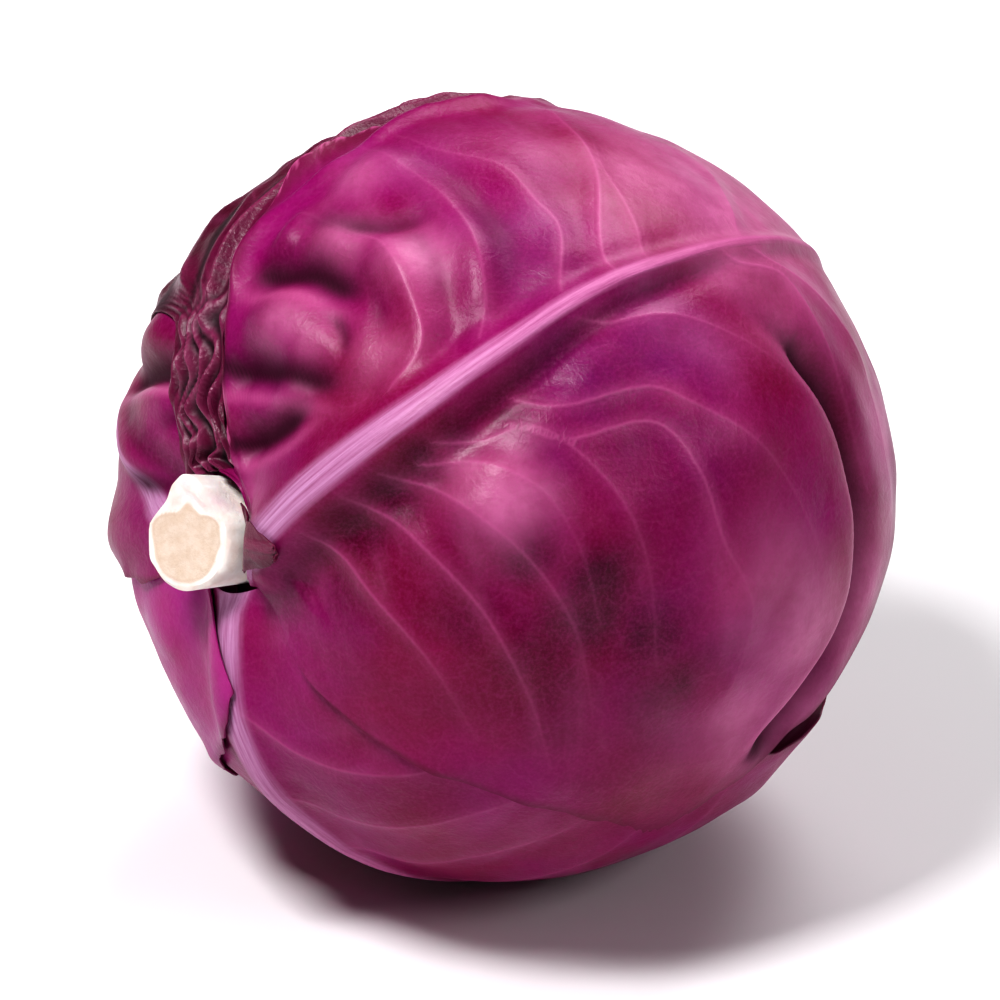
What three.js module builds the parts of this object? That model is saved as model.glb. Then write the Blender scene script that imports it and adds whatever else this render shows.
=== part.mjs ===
// A red cabbage head lying on its side: the cut stem with its pith core, the tight inner head, and the
// wrapper leaves that clasp it, each one a closed shell of its own. Millimetres, +Z up; the head rests on
// z = 0, and the z axis passes through the middle of its outline. Angles are in degrees.
import * as THREE from "three";
import { mergeVertices } from "three/addons/utils/BufferGeometryUtils.js";

// The head as a whole: a ball, dipped round the stem, a little flat at the crown and where it rests
const headRadius = 80;
const baseDip = 0.1;
const baseDipAngle = 21;
const crownFlattening = 0.02;
const restFlatDepth = 2.6;

// How the head lies: where the ball's middle stands, where the stem end points, how far that end is lifted,
// and how the head is rolled
const ballMiddle = new THREE.Vector3(1.2, 2.4, headRadius - restFlatDepth);
const stemHeading = 213.4;
const stemLift = 10.7;
const headRoll = -38.5;

// The stem: half its outline as [radius, height] pairs, with the ball's middle at height 0
const stubRadius = 11.2;
const stubEnd = 78;
const cutSlope = 0.42;
const cutFacing = -22;
const stemFacets = 14;
const knifeFlat = 0.07;
const coreOutline = [
  [stubRadius, 50],
  [15, 42],
  [14.6, 28],
  [12.4, 12],
  [9, -2],
  [4.5, -11],
];
const coreTip = -14;
const coreClearance = 0.4;

// The inner head: how far its face lies below the ball, in the open and round the stem
const heartDepth = 11.5;
const heartBaseDepth = 18;
const heartStep = 0.9;
const heartRings = 20;
const heartSegments = 30;

// The leaves: each lies clear of those below it, and all stand clear of the stub
const leafGap = 1.2;
const drapeSoftness = 1.0;
const coverBeyond = 2;
const coverFade = 8;
const stemClearance = 0.4;
const unpushedRadius = 17;
const innermostRadius = 5;
const veinHeight = 0.9;
const veinHalfWidth = 2.8;

const radians = THREE.MathUtils.degToRad;
const degrees = THREE.MathUtils.radToDeg;
const { clamp, lerp, smoothstep } = THREE.MathUtils;

// A ridge (or, with a height below 0, a crease) through [along, across] points of a leaf, with its height
// in mm and its half-width in degrees at even steps.
const ridge = (points, height, halfWidth) => ({ points, height, halfWidth });

// A round swelling of a leaf.
const swell = (along, across, height, halfWidth) => ({ along, across, height, halfWidth });

// Innermost leaf first. A leaf's own angles: along it from the middle of the stem, and across it. Its level
// is its face's height over the ball, at the base and where the leaf has come out from under the others.
const leaves = [
  {
    name: "crown_leaf",
    colour: 0x8d2563,
    azimuth: -100,
    start: 7,
    widest: 110,
    reach: 212,
    baseWidth: 5,
    left: 58,
    right: 58,
    levels: [-15, -9],
    thickness: 1.1,
    rows: 24,
    columns: 12,
    rib: ridge([[7, 0], [80, 0], [205, 0]], [1, 1, 0.2], [4.5, 3]),
    pairs: { from: 60, until: 170, count: 4 },
  },
  {
    name: "back_leaf",
    colour: 0x95286b,
    azimuth: 145,
    start: 7,
    widest: 96,
    reach: 166,
    baseWidth: 5,
    left: 60,
    right: 64,
    levels: [-12.5, -4.4],
    thickness: 1.1,
    rows: 22,
    columns: 16,
    rib: ridge([[7, 0], [80, 0], [160, 0]], [1.4, 1.8, 0.4], [4.5, 3]),
    pairs: { from: 40, until: 120, count: 4 },
  },
  {
    name: "under_leaf",
    colour: 0x8a1f5f,
    azimuth: -128,
    start: 6,
    widest: 84,
    reach: 152,
    baseWidth: 9,
    left: 58,
    right: 52,
    levels: [-6.5, -0.9],
    thickness: 1.3,
    rows: 22,
    columns: 18,
    rib: ridge([[7, 0], [60, 2], [145, 0]], [3, 2.4, 0.5], [5, 2.8]),
    pairs: { from: 24, until: 110, count: 4 },
  },
  {
    name: "lower_left_leaf",
    colour: 0xb0247a,
    azimuth: 165,
    start: 6,
    widest: 60,
    reach: 118,
    baseWidth: 5,
    left: 28,
    right: 42,
    levels: [-6, -0.9],
    thickness: 1.2,
    rows: 18,
    columns: 14,
    rib: ridge([[7, -3], [50, -6], [110, 0]], [3, 2.2, 0.5], [5, 2.8]),
    pairs: { from: 26, until: 80, count: 3 },
    swells: [swell(24, 10, 2.2, 10)],
  },
  {
    name: "left_leaf",
    colour: 0xa81d70,
    azimuth: 112,
    start: 6,
    widest: 56,
    reach: 106,
    baseWidth: 5,
    left: 34,
    right: 34,
    levels: [-5, -0.6],
    thickness: 1.2,
    rows: 24,
    columns: 18,
    rib: ridge([[7, 6], [45, 10], [100, 4]], [3, 2.2, 0.5], [4.5, 2.8]),
    pairs: { from: 52, until: 84, count: 3 },
    ridges: [
      ridge([[40, 4], [29, -8], [21, -15]], [-1.6, -3.4, -2.6], [4, 4]),
      ridge([[20, 3], [17, -5], [14, -10]], [-1, -2, -1.6], [3.2, 3.2]),
    ],
    swells: [swell(35, -8, 3, 7), swell(22, -5, 3, 6), swell(48, -2, 1.5, 8)],
  },
  {
    name: "dark_outer_leaf",
    colour: 0x6a1a3c,
    azimuth: 72,
    start: 6,
    widest: 76,
    reach: 112,
    baseWidth: 3,
    left: 48,
    right: 14,
    neck: { until: 38, left: 6.5, right: 4.5 },
    levels: [-2.6, 0.4],
    gap: 2.4,
    thickness: 1.0,
    rows: 32,
    columns: 18,
    rib: ridge([[7, 0], [60, 0], [104, 0]], [0.4, 0.9, 0.3], [2.6, 2.6]),
    crumple: { height: 0.5, along: 21, across: 13 },
  },
  {
    name: "front_leaf",
    colour: 0xb01a74,
    azimuth: 0,
    start: 5,
    widest: 75,
    reach: 150,
    baseWidth: 11,
    leftOutline: [
      [5, 5.5], [9.7, 7.5], [13, 12], [15.5, 18.5], [17.8, 24],
      [20, 30], [25, 41], [31.7, 51.5], [41.6, 62], [52, 66],
    ],
    left: 64,
    right: 86,
    tipSquareness: 3,
    levels: [-2.5, 0],
    thickness: 1.3,
    rows: 40,
    columns: 34,
    crowding: 1.35,
    rib: ridge(
      [[13, -8.6], [42, -4.6], [59, 0], [77, 5.8], [100, 10.4], [129, 14.6], [146, 16]],
      [5.5, 5.5, 4.6, 3.4, 1.8, 1, 0.6],
      [5.2, 4.6, 3.4, 2.6, 2.2, 2.2],
    ),
    ridges: [
      ridge([[43, 1.8], [50, 7], [50.4, 15], [48, 25], [43, 31], [36, 38]], [1.4, 1.8, 1.2], [2.8, 2.8]),
      ridge([[58, 4], [61, 11], [62.6, 21], [61, 31], [53.5, 45], [43, 56]], [1.4, 1.6, 1], [2.8, 2.8]),
      ridge([[70, 6], [76, 18], [75, 26], [72, 34], [63, 43], [55, 55]], [1.2, 1.4, 0.8], [2.8, 2.8]),
      ridge([[79, 7], [82, 15], [89.6, 30], [95, 46], [100, 56]], [1.2, 1.2, 0.6], [2.8, 2.8]),
      ridge([[103, 11], [113, 24], [116, 31], [117, 40]], [1, 1, 0.5], [2.8, 2.8]),
      ridge([[66, 0], [78, -3], [93, -5], [101, -8]], [1.2, 1.2, 0.6], [2.8, 2.8]),
      ridge([[58, -8], [79, -10], [93, -18], [106, -30], [119, -45]], [1.2, 1.2, 0.6], [2.8, 2.8]),
      ridge([[52, -10], [74, -14], [84, -23], [90, -36], [95, -50]], [1.2, 1.2, 0.6], [2.8, 2.8]),
      ridge([[44, -12], [58, -16], [70, -26], [74, -40], [76, -56]], [1.2, 1.2, 0.6], [2.8, 2.8]),
      ridge([[13, 11], [18, 8], [24, 6.4], [30, 6.6]], [-1.6, -4.4, -3.6], [3.4, 3]),
      ridge([[14, 20], [23.5, 16], [32.6, 9.5], [37, 6]], [-1.6, -4, -2], [4, 3.6]),
      ridge([[27, 31], [37, 27], [40.5, 22.3], [46, 16]], [-1.6, -3.2, -1.4], [4, 3.8]),
      ridge([[38.7, 36], [46.8, 30], [55, 27.6]], [-1, -2.2, -1], [3.4, 3]),
      ridge(
        [[107, -5], [117.7, -15], [124.7, -28], [130, -40], [129.5, -52], [127, -62], [112, -71]],
        [-1, -5, -5.6, -5.6, -5, -4],
        [3.6, 4],
      ),
    ],
    swells: [
      swell(29, 22, 2.4, 6),
      swell(27, 11, 1.4, 4),
      swell(40, 32, 1.8, 5),
      swell(49, 42, 1.4, 6),
      swell(54, 19, 1.6, 6),
      swell(50, -19, 1.6, 6),
    ],
    ruffle: { height: 1.8, waves: 9, from: 0.88 },
  },
  {
    name: "stem_scrap",
    colour: 0x6a2038,
    azimuth: -34,
    start: 3,
    widest: 13,
    reach: 20,
    baseWidth: 2.4,
    left: 3.6,
    right: 3.6,
    levels: [-1, 0],
    thickness: 0.9,
    rows: 7,
    columns: 6,
    rib: ridge([[3, 0], [12, 0], [20, 0]], [0.2, 1.6, 3], [3, 3]),
    curl: 3,
  },
];

// The unit vector at a leaf's own angles, in the head's frame: the stem end points along +Z.
function leafDirection(leaf, along, across) {
  const [a, c, turn] = [radians(along), radians(across), radians(leaf.azimuth)];
  const outward = Math.cos(c) * Math.sin(a);
  return new THREE.Vector3(
    outward * Math.cos(turn) - Math.sin(c) * Math.sin(turn),
    outward * Math.sin(turn) + Math.sin(c) * Math.cos(turn),
    Math.cos(c) * Math.cos(a),
  );
}

// The other way round: a direction's angles along and across a leaf.
function leafAngles(leaf, { x, y, z }) {
  const turn = radians(leaf.azimuth);
  const along = degrees(Math.atan2(x * Math.cos(turn) + y * Math.sin(turn), z));
  const across = degrees(Math.asin(clamp(y * Math.cos(turn) - x * Math.sin(turn), -1, 1)));
  return [along < -90 ? along + 360 : along, across];
}

const polarAngle = (direction) => degrees(Math.acos(clamp(direction.z, -1, 1)));

function ballRadius(direction) {
  const polar = polarAngle(direction);
  const dip = baseDip * Math.exp(-((polar / baseDipAngle) ** 2));
  return headRadius * (1 - dip - crownFlattening * smoothstep(polar, 130, 180));
}

function heartRadius(direction) {
  const depth = lerp(heartBaseDepth, heartDepth, smoothstep(polarAngle(direction), 10, 42));
  return ballRadius(direction) - depth;
}

// A leaf's half-width at an angle along it, on the side that the sign of across names.
function halfWidth(leaf, along, across) {
  const widest = across > 0 ? leaf.left : leaf.right;
  const towardsBase = along < leaf.widest;
  const span = towardsBase ? leaf.widest - leaf.start : leaf.reach - leaf.widest;
  const base = towardsBase ? leaf.baseWidth : 0;
  const squareness = (!towardsBase && leaf.tipSquareness) || 2;
  const short = Math.min(1, Math.abs(along - leaf.widest) / span);
  const fullness = (1 - short ** squareness) ** (1 / squareness);
  const width = base + (widest - base) * fullness;
  if (leaf.neck) {
    const { until, left, right } = leaf.neck;
    return lerp(across > 0 ? left : right, width, smoothstep(along, until - 4, until + 8));
  }
  if (leaf.leftOutline && across > 0) return Math.min(width, outlineAt(leaf.leftOutline, along));
  return width;
}

// How far a leaf's left margin reaches where it is drawn point by point, as beside the open channel.
function outlineAt(outline, along) {
  const next = outline.findIndex(([place]) => place > along);
  if (next === -1) return Infinity;
  if (next === 0) return outline[0][1];
  const [from, to] = [outline[next - 1], outline[next]];
  return lerp(from[1], to[1], (along - from[0]) / (to[0] - from[0]));
}

// Where a leaf's midrib lies across it, at an angle along it.
function ribAcross(leaf, along) {
  const { points } = leaf.rib;
  const next = points.findIndex(([place]) => place > along);
  if (next === -1) return points[points.length - 1][1];
  if (next === 0) return points[0][1];
  const [from, to] = [points[next - 1], points[next]];
  return lerp(from[1], to[1], (along - from[0]) / (to[0] - from[0]));
}

// Side veins, which leave the midrib in pairs and bend towards the leaf's tip.
function pairedVeins(leaf) {
  if (!leaf.pairs) return [];
  const { from, until, count } = leaf.pairs;
  const shares = [0.04, 0.3, 0.6, 0.9];
  const veins = [];
  for (let i = 0; i < count; i++) {
    for (const side of [1, -1]) {
      const root = lerp(from, until, (i + (side > 0 ? 0 : 0.5)) / count);
      const middle = ribAcross(leaf, root);
      const points = shares.map((share) => {
        const along = root + 22 * Math.sqrt(share) * (1 - i / (2 * count));
        return [along, lerp(middle, side * halfWidth(leaf, along, side), share)];
      });
      veins.push(ridge(points, [veinHeight, veinHeight, 0.3], [veinHalfWidth, veinHalfWidth]));
    }
  }
  return veins;
}

// A ridge's points, smoothed and close together, as directions.
function traced(leaf, feature) {
  const corners = feature.points.map(([along, across]) => leafDirection(leaf, along, across));
  const path = new THREE.CatmullRomCurve3(corners).getPoints(corners.length * 8);
  return { ...feature, path: path.map((point) => point.normalize()) };
}

for (const leaf of leaves) {
  leaf.traces = [leaf.rib, ...pairedVeins(leaf), ...(leaf.ridges ?? [])].map((r) => traced(leaf, r));
  leaf.centres = (leaf.swells ?? []).map((s) => ({ ...s, at: leafDirection(leaf, s.along, s.across) }));
}

// A value read from a list of values at even steps.
function stepped(values, share) {
  const place = share * (values.length - 1);
  const low = Math.min(Math.floor(place), values.length - 2);
  return lerp(values[low], values[low + 1], place - low);
}

const bump = (angle, reach) => Math.exp(-((angle / reach) ** 2));

function ridgeHeight({ path, height, halfWidth: widths }, direction) {
  let nearest = Infinity;
  let share = 0;
  path.forEach((point, i) => {
    const distance = point.distanceToSquared(direction);
    if (distance < nearest) {
      nearest = distance;
      share = i / (path.length - 1);
    }
  });
  return stepped(height, share) * bump(degrees(Math.sqrt(nearest)), stepped(widths, share));
}

// A leaf's relief in one direction, in mm.
function relief(leaf, direction, along, across) {
  const heights = leaf.traces.map((trace) => ridgeHeight(trace, direction));
  let height = Math.max(0, ...heights) + Math.min(0, ...heights);
  for (const centre of leaf.centres) {
    height += centre.height * bump(degrees(centre.at.distanceTo(direction)), centre.halfWidth);
  }
  const outward = clamp(Math.abs(across) / Math.max(halfWidth(leaf, along, across), 0.5), 0, 1);
  if (leaf.crumple) {
    const { height: rise, along: lengthwise, across: crosswise } = leaf.crumple;
    height += rise * Math.sin(radians((360 * across) / crosswise + 60 * Math.sin(radians(9 * along))));
    height += rise * 0.6 * Math.sin(radians((360 * along) / lengthwise + 11 * across));
  }
  if (leaf.ruffle && across > 0) {
    const wave = 0.8 + 0.5 * Math.sin(radians(leaf.ruffle.waves * along * 3));
    height += leaf.ruffle.height * wave * smoothstep(outward, leaf.ruffle.from, 1);
  }
  if (leaf.curl) height += leaf.curl * outward ** 2 * smoothstep(along, 8, leaf.reach);
  return height;
}

// 1 where a leaf lies under a direction, falling to 0 a little way outside its outline.
function coverage(leaf, along, across) {
  const beside = Math.abs(across) - halfWidth(leaf, clamp(along, leaf.start, leaf.reach), across);
  const beyond = Math.max(beside, leaf.start - along, along - leaf.reach);
  return 1 - smoothstep(beyond, coverBeyond, coverBeyond + coverFade);
}

// The larger of two radii, with the step between them rounded off.
const draped = (a, b) => (a + b + Math.hypot(a - b, drapeSoftness)) / 2;

// The radius of a leaf's inner face in one direction: where it would lie by itself, or pushed out by the
// inner head and by each leaf below it.
function innerRadius(order, direction) {
  const outers = [];
  const covers = [];
  for (const leaf of leaves.slice(0, order + 1)) {
    const [along, across] = leafAngles(leaf, direction);
    const level = lerp(...leaf.levels, smoothstep(along, 8, 45));
    const alone = ballRadius(direction) + level + relief(leaf, direction, along, across) - leaf.thickness;
    let inner = draped(alone, heartRadius(direction) + heartStep + leafGap);
    outers.forEach((outer, below) => {
      inner = lerp(inner, draped(inner, outer + (leaf.gap ?? leafGap)), covers[below]);
    });
    outers.push(inner + leaf.thickness);
    covers.push(coverage(leaf, along, across));
  }
  return outers[order] - leaves[order].thickness;
}

// Pushes points near the stem out from it, in order, so that nothing touches the stub.
function clearOfStem(point) {
  const radius = Math.hypot(point.x, point.y);
  if (radius >= unpushedRadius || point.z < 0) return point;
  const share = Math.max(radius - innermostRadius, 0) / (unpushedRadius - innermostRadius);
  const pushed = lerp(stubRadius + stemClearance, unpushedRadius, share);
  point.x *= pushed / radius;
  point.y *= pushed / radius;
  return point;
}

// The head's lie: its own frame (stem along +Z, front leaf's midrib towards +X) turned to lie on the floor
const heading = radians(stemHeading);
const stemPoint = new THREE.Vector3(Math.cos(heading), Math.sin(heading), Math.tan(radians(stemLift)));
stemPoint.normalize();
const overhead = new THREE.Vector3(0, 0, 1).addScaledVector(stemPoint, -stemPoint.z).normalize();
const frontRib = overhead.clone().applyAxisAngle(stemPoint, radians(headRoll));
const lie = new THREE.Matrix4()
  .makeBasis(frontRib, new THREE.Vector3().crossVectors(stemPoint, frontRib), stemPoint)
  .setPosition(ballMiddle);

// The floor, from the head's own frame, and how far from the ball's middle the head is pressed flat
const floorward = new THREE.Vector3(0, 0, -1).transformDirection(lie.clone().invert());
const restDistance = ballMiddle.z;

function pressedFlat(point, distance) {
  const beyond = point.dot(floorward) - distance;
  return beyond > 0 ? point.addScaledVector(floorward, -beyond) : point;
}

// Turns a closed mesh's faces round if they face inwards.
function facingOut(geometry) {
  const position = geometry.getAttribute("position");
  const index = geometry.getIndex();
  const corners = [new THREE.Vector3(), new THREE.Vector3(), new THREE.Vector3()];
  let volume = 0;
  for (let i = 0; i < index.count; i += 3) {
    corners.forEach((corner, k) => corner.fromBufferAttribute(position, index.getX(i + k)));
    volume += corners[0].dot(corners[1].cross(corners[2]));
  }
  if (volume < 0) index.array.reverse();
  geometry.computeVertexNormals();
  return geometry;
}

// A closed mesh from a grid of outer points and the matching inner points, joined round the rim.
function shellGeometry(outer, inner) {
  const [rows, columns] = [outer.length, outer[0].length];
  const outerIndex = (row, column) => row * columns + column;
  const innerIndex = (row, column) => (rows + row) * columns + column;
  const triangles = [];
  const quad = (a, b, c, d) => triangles.push(a, b, c, a, c, d);
  for (let row = 1; row < rows; row++) {
    for (let column = 1; column < columns; column++) {
      const corners = [[row - 1, column - 1], [row, column - 1], [row, column], [row - 1, column]];
      const [first, second, third, fourth] = corners.map(([r, c]) => outer[r][c].length());
      if (Math.abs(first - third) > Math.abs(second - fourth)) corners.push(corners.shift());
      quad(...corners.map((corner) => outerIndex(...corner)));
      quad(...corners.map((corner) => innerIndex(...corner)).reverse());
    }
  }
  const rim = [];
  for (let column = 0; column < columns - 1; column++) rim.push([0, column]);
  for (let row = 0; row < rows - 1; row++) rim.push([row, columns - 1]);
  for (let column = columns - 1; column > 0; column--) rim.push([rows - 1, column]);
  for (let row = rows - 1; row > 0; row--) rim.push([row, 0]);
  rim.forEach((here, i) => {
    const next = rim[(i + 1) % rim.length];
    quad(outerIndex(...here), outerIndex(...next), innerIndex(...next), innerIndex(...here));
  });
  const geometry = new THREE.BufferGeometry();
  const coordinates = [...outer.flat(), ...inner.flat()].flatMap((point) => point.toArray());
  geometry.setAttribute("position", new THREE.Float32BufferAttribute(coordinates, 3));
  geometry.setIndex(triangles);
  return facingOut(geometry);
}

// One leaf: rows run from its base to its tip, evenly round its outline, and columns from side to side.
function leafGeometry(leaf, order) {
  const tipTurn = 87;
  const [outer, inner] = [[], []];
  for (let row = 0; row <= leaf.rows; row++) {
    const turn = lerp(-90, tipTurn, row / leaf.rows);
    const span = turn < 0 ? leaf.widest - leaf.start : leaf.reach - leaf.widest;
    const along = leaf.widest + span * Math.sin(radians(turn));
    const [left, right] = [halfWidth(leaf, along, 1), halfWidth(leaf, along, -1)];
    const middle = clamp(ribAcross(leaf, along), -0.6 * right, 0.6 * left);
    outer.push([]);
    inner.push([]);
    for (let column = 0; column <= leaf.columns; column++) {
      const side = (2 * column) / leaf.columns - 1;
      const across = lerp(middle, side > 0 ? left : -right, Math.abs(side) ** (leaf.crowding ?? 1));
      const direction = leafDirection(leaf, along, across);
      const radius = innerRadius(order, direction);
      const face = direction.clone().multiplyScalar(radius + leaf.thickness);
      const underside = direction.clone().multiplyScalar(radius);
      outer[row].push(pressedFlat(clearOfStem(face), restDistance));
      inner[row].push(pressedFlat(clearOfStem(underside), restDistance - leaf.thickness));
    }
  }
  return shellGeometry(outer, inner);
}

// A closed, turned mesh from [radius, height] pairs that begin and end on the axis.
function turned(outline, segments) {
  const geometry = new THREE.LatheGeometry(
    outline.map(([radius, height]) => new THREE.Vector2(radius, height)),
    segments,
  );
  geometry.deleteAttribute("normal");
  geometry.deleteAttribute("uv");
  return mergeVertices(geometry.rotateX(Math.PI / 2), 1e-4);
}

// The cut stump and the pith core: knife cuts flatten the stump's sides and slope its end.
function stemGeometry() {
  const outline = [
    [0, stubEnd],
    [stubRadius - 1.6, stubEnd],
    [stubRadius - 0.1, stubEnd - 3],
    [stubRadius - 0.1, 62],
    ...coreOutline,
    [0, coreTip],
  ];
  const geometry = turned(outline, stemFacets);
  const position = geometry.getAttribute("position");
  for (let i = 0; i < position.count; i++) {
    const [x, y, z] = [position.getX(i), position.getY(i), position.getZ(i)];
    if (z < 60) continue;
    const flattened = 1 - knifeFlat * (1 - Math.cos(3 * Math.atan2(y, x)));
    const forward = x * Math.cos(radians(cutFacing)) + y * Math.sin(radians(cutFacing));
    position.setXYZ(i, x * flattened, y * flattened, z - (z > 70 ? cutSlope * forward : 0));
  }
  return facingOut(geometry);
}

// The tight inner head: its face is stepped by the edges of the packed leaves, round a socket for the core.
function heartGeometry() {
  const mouth = stubRadius + coreClearance;
  const socket = coreOutline.slice(1).map(([radius, height]) => [radius + coreClearance, height]);
  const face = [];
  for (let ring = 0; ring <= heartRings; ring++) {
    const polar = radians(lerp(6, 180, ring / heartRings));
    const radius = heartRadius(new THREE.Vector3(Math.sin(polar), 0, Math.cos(polar)));
    face.push([ring === heartRings ? 0 : radius * Math.sin(polar), radius * Math.cos(polar)]);
  }
  const outline = [[0, coreTip - 1], ...socket.reverse(), [mouth, 50], ...face];
  const geometry = turned(outline, heartSegments);
  const position = geometry.getAttribute("position");
  const point = new THREE.Vector3();
  for (let i = 0; i < position.count; i++) {
    point.fromBufferAttribute(position, i);
    if (point.length() < 52 || (Math.hypot(point.x, point.y) < mouth + 0.01 && point.z < 51 && point.z > 0)) {
      continue;
    }
    const azimuth = degrees(Math.atan2(point.y, point.x));
    const winding = (((azimuth + 0.8 * polarAngle(point.clone().normalize())) % 72) + 72) % 72;
    const fade = smoothstep(polarAngle(point.clone().normalize()), 14, 40);
    point.setLength(point.length() + heartStep * fade * (0.5 - Math.abs(winding / 72 - 0.5)) * 2);
    clearOfStem(point);
    position.setXYZ(i, point.x, point.y, point.z);
  }
  return facingOut(geometry);
}

function piece(name, colour, geometry, roughness) {
  const material = new THREE.MeshStandardMaterial({ color: colour, roughness });
  const mesh = new THREE.Mesh(geometry.applyMatrix4(lie), material);
  mesh.name = name;
  return mesh;
}

const head = new THREE.Group();
head.name = "cabbage_head";
head.add(piece("stem", 0xdfcbbd, stemGeometry(), 0.6));
head.add(piece("inner_head", 0x7d2a63, heartGeometry(), 0.5));
leaves.forEach((leaf, order) => head.add(piece(leaf.name, leaf.colour, leafGeometry(leaf, order), 0.4)));

export default head;
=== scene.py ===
# A red cabbage head on its side, laid leaf by leaf from the pith outwards, in the frame of its CAD solids.
import math

import bpy
import numpy as np
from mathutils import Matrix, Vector


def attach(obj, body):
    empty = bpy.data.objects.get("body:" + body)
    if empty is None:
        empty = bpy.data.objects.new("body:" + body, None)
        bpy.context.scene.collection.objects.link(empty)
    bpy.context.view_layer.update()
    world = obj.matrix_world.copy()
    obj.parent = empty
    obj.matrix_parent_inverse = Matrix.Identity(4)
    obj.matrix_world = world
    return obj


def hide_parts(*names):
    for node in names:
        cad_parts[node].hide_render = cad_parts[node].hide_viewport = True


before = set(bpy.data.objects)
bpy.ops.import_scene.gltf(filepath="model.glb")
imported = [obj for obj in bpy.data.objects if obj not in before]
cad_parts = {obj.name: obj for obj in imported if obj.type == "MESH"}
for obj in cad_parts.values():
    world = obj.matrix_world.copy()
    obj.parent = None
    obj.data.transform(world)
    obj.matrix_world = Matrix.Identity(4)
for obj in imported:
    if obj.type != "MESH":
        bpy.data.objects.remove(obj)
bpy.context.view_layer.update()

print("frame loaded:", len(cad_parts), "nodes")

# Lengths here are in millimetres and angles in degrees; pieces are made in metres at the end.
head = {
    "radius": 80.0,
    "middle": (1.2, 2.4, 77.4),
    "stemHeading": 213.4,
    "stemLift": 10.7,
    "roll": -38.5,
    "baseDip": 0.1,
    "baseDipAngle": 21.0,
    "crownFlattening": 0.02,
    "crownFrom": 130,
    "heartDepth": 10.4,
    "heartBaseDepth": 16.9,
    "heartBaseAngles": (10, 42),
    "leafGap": 0.35,
    "levelAngles": (8, 45),
    "drapeSoftness": 0.5,
    "coverBeyond": 0.6,
    "coverFade": 6.0,
    "stubRadius": 11.2,
    "stubClearance": 0.3,
    "unpushedRadius": 17.0,
    "innermostRadius": 5.0,
}


def unit(vector):
    return vector / np.linalg.norm(vector)


def smoothStep(values, low, high):
    share = np.clip((values - low) / (high - low), 0, 1)
    return share * share * (3 - 2 * share)


def lerp(low, high, share):
    return low + (high - low) * share


# The head's own axes on the floor: the front leaf's midrib side, the side beside it, and the stem.
stemTurn = math.radians(head["stemHeading"])
stemAxis = unit(np.array([math.cos(stemTurn), math.sin(stemTurn), math.tan(math.radians(head["stemLift"]))]))
overhead = unit(np.array([0, 0, 1]) - stemAxis[2] * stemAxis)
rollTurn = math.radians(head["roll"])
ribAxis = math.cos(rollTurn) * overhead + math.sin(rollTurn) * np.cross(stemAxis, overhead)
lie = np.array([ribAxis, np.cross(stemAxis, ribAxis), stemAxis])


def onTheFloor(points):
    world = points @ lie + np.array(head["middle"])
    world[:, 2] = np.maximum(world[:, 2], 0)  # the head's own weight flattens the spot that it rests on
    return world * 0.001


def leafDirections(leaf, along, across):
    a, c, turn = np.radians(along), np.radians(across), math.radians(leaf["azimuth"])
    out = np.cos(c) * np.sin(a)
    return np.stack(
        [
            out * math.cos(turn) - np.sin(c) * math.sin(turn),
            out * math.sin(turn) + np.sin(c) * math.cos(turn),
            np.cos(c) * np.cos(a),
        ],
        axis=-1,
    )


def leafAngles(leaf, directions):
    x, y, z = directions.T
    turn = math.radians(leaf["azimuth"])
    along = np.degrees(np.arctan2(x * math.cos(turn) + y * math.sin(turn), z))
    across = np.degrees(np.arcsin(np.clip(y * math.cos(turn) - x * math.sin(turn), -1, 1)))
    return np.where(along < -90, along + 360, along), across


def polarAngles(directions):
    return np.degrees(np.arccos(np.clip(directions[:, 2], -1, 1)))


def ballRadii(directions):
    polar = polarAngles(directions)
    dip = head["baseDip"] * np.exp(-((polar / head["baseDipAngle"]) ** 2))
    return head["radius"] * (1 - dip - head["crownFlattening"] * smoothStep(polar, head["crownFrom"], 180))


def heartRadii(directions):
    opening = smoothStep(polarAngles(directions), *head["heartBaseAngles"])
    return ballRadii(directions) - lerp(head["heartBaseDepth"], head["heartDepth"], opening)


rumples = {"waves": 28, "lengthOverSize": 1.5, "height": 6.5}


def rumple(directions, size, seed):
    # a smooth random unevenness, mostly from -1 to 1, with humps about this many degrees apart
    dice = np.random.default_rng(seed)
    waves = dice.normal(size=(3, rumples["waves"]))
    waves *= 2 * math.pi / math.radians(size * rumples["lengthOverSize"]) / np.linalg.norm(waves, axis=0)
    phases = dice.uniform(0, 2 * math.pi, rumples["waves"])
    return np.sin(directions @ waves + phases).sum(axis=1) / rumples["height"]


def halfWidths(leaf, along, across):
    widest = np.where(across > 0, leaf["left"], leaf["right"])
    towardsBase = along < leaf["widest"]
    span = np.where(towardsBase, leaf["widest"] - leaf["start"], leaf["reach"] - leaf["widest"])
    base = np.where(towardsBase, np.where(across > 0, *leaf["baseWidths"]), 0)
    power = np.where(towardsBase, 2.0, leaf.get("tipSquareness", 2.0))
    short = np.clip(np.abs(along - leaf["widest"]) / span, 0, 1)
    width = base + (widest - base) * (1 - short**power) ** (1 / power)
    if "neck" in leaf:
        neck = leaf["neck"]
        narrow = np.where(across > 0, neck["left"], neck["right"])
        width = lerp(narrow, width, smoothStep(along, neck["widensFrom"], neck["widensTo"]))
    if "leftOutline" in leaf:
        corners = np.array(leaf["leftOutline"], dtype=float)
        narrow = np.interp(along, corners[:, 0], corners[:, 1], right=leaf["left"])
        width = np.where(across > 0, np.minimum(width, narrow), width)
    return width


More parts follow.
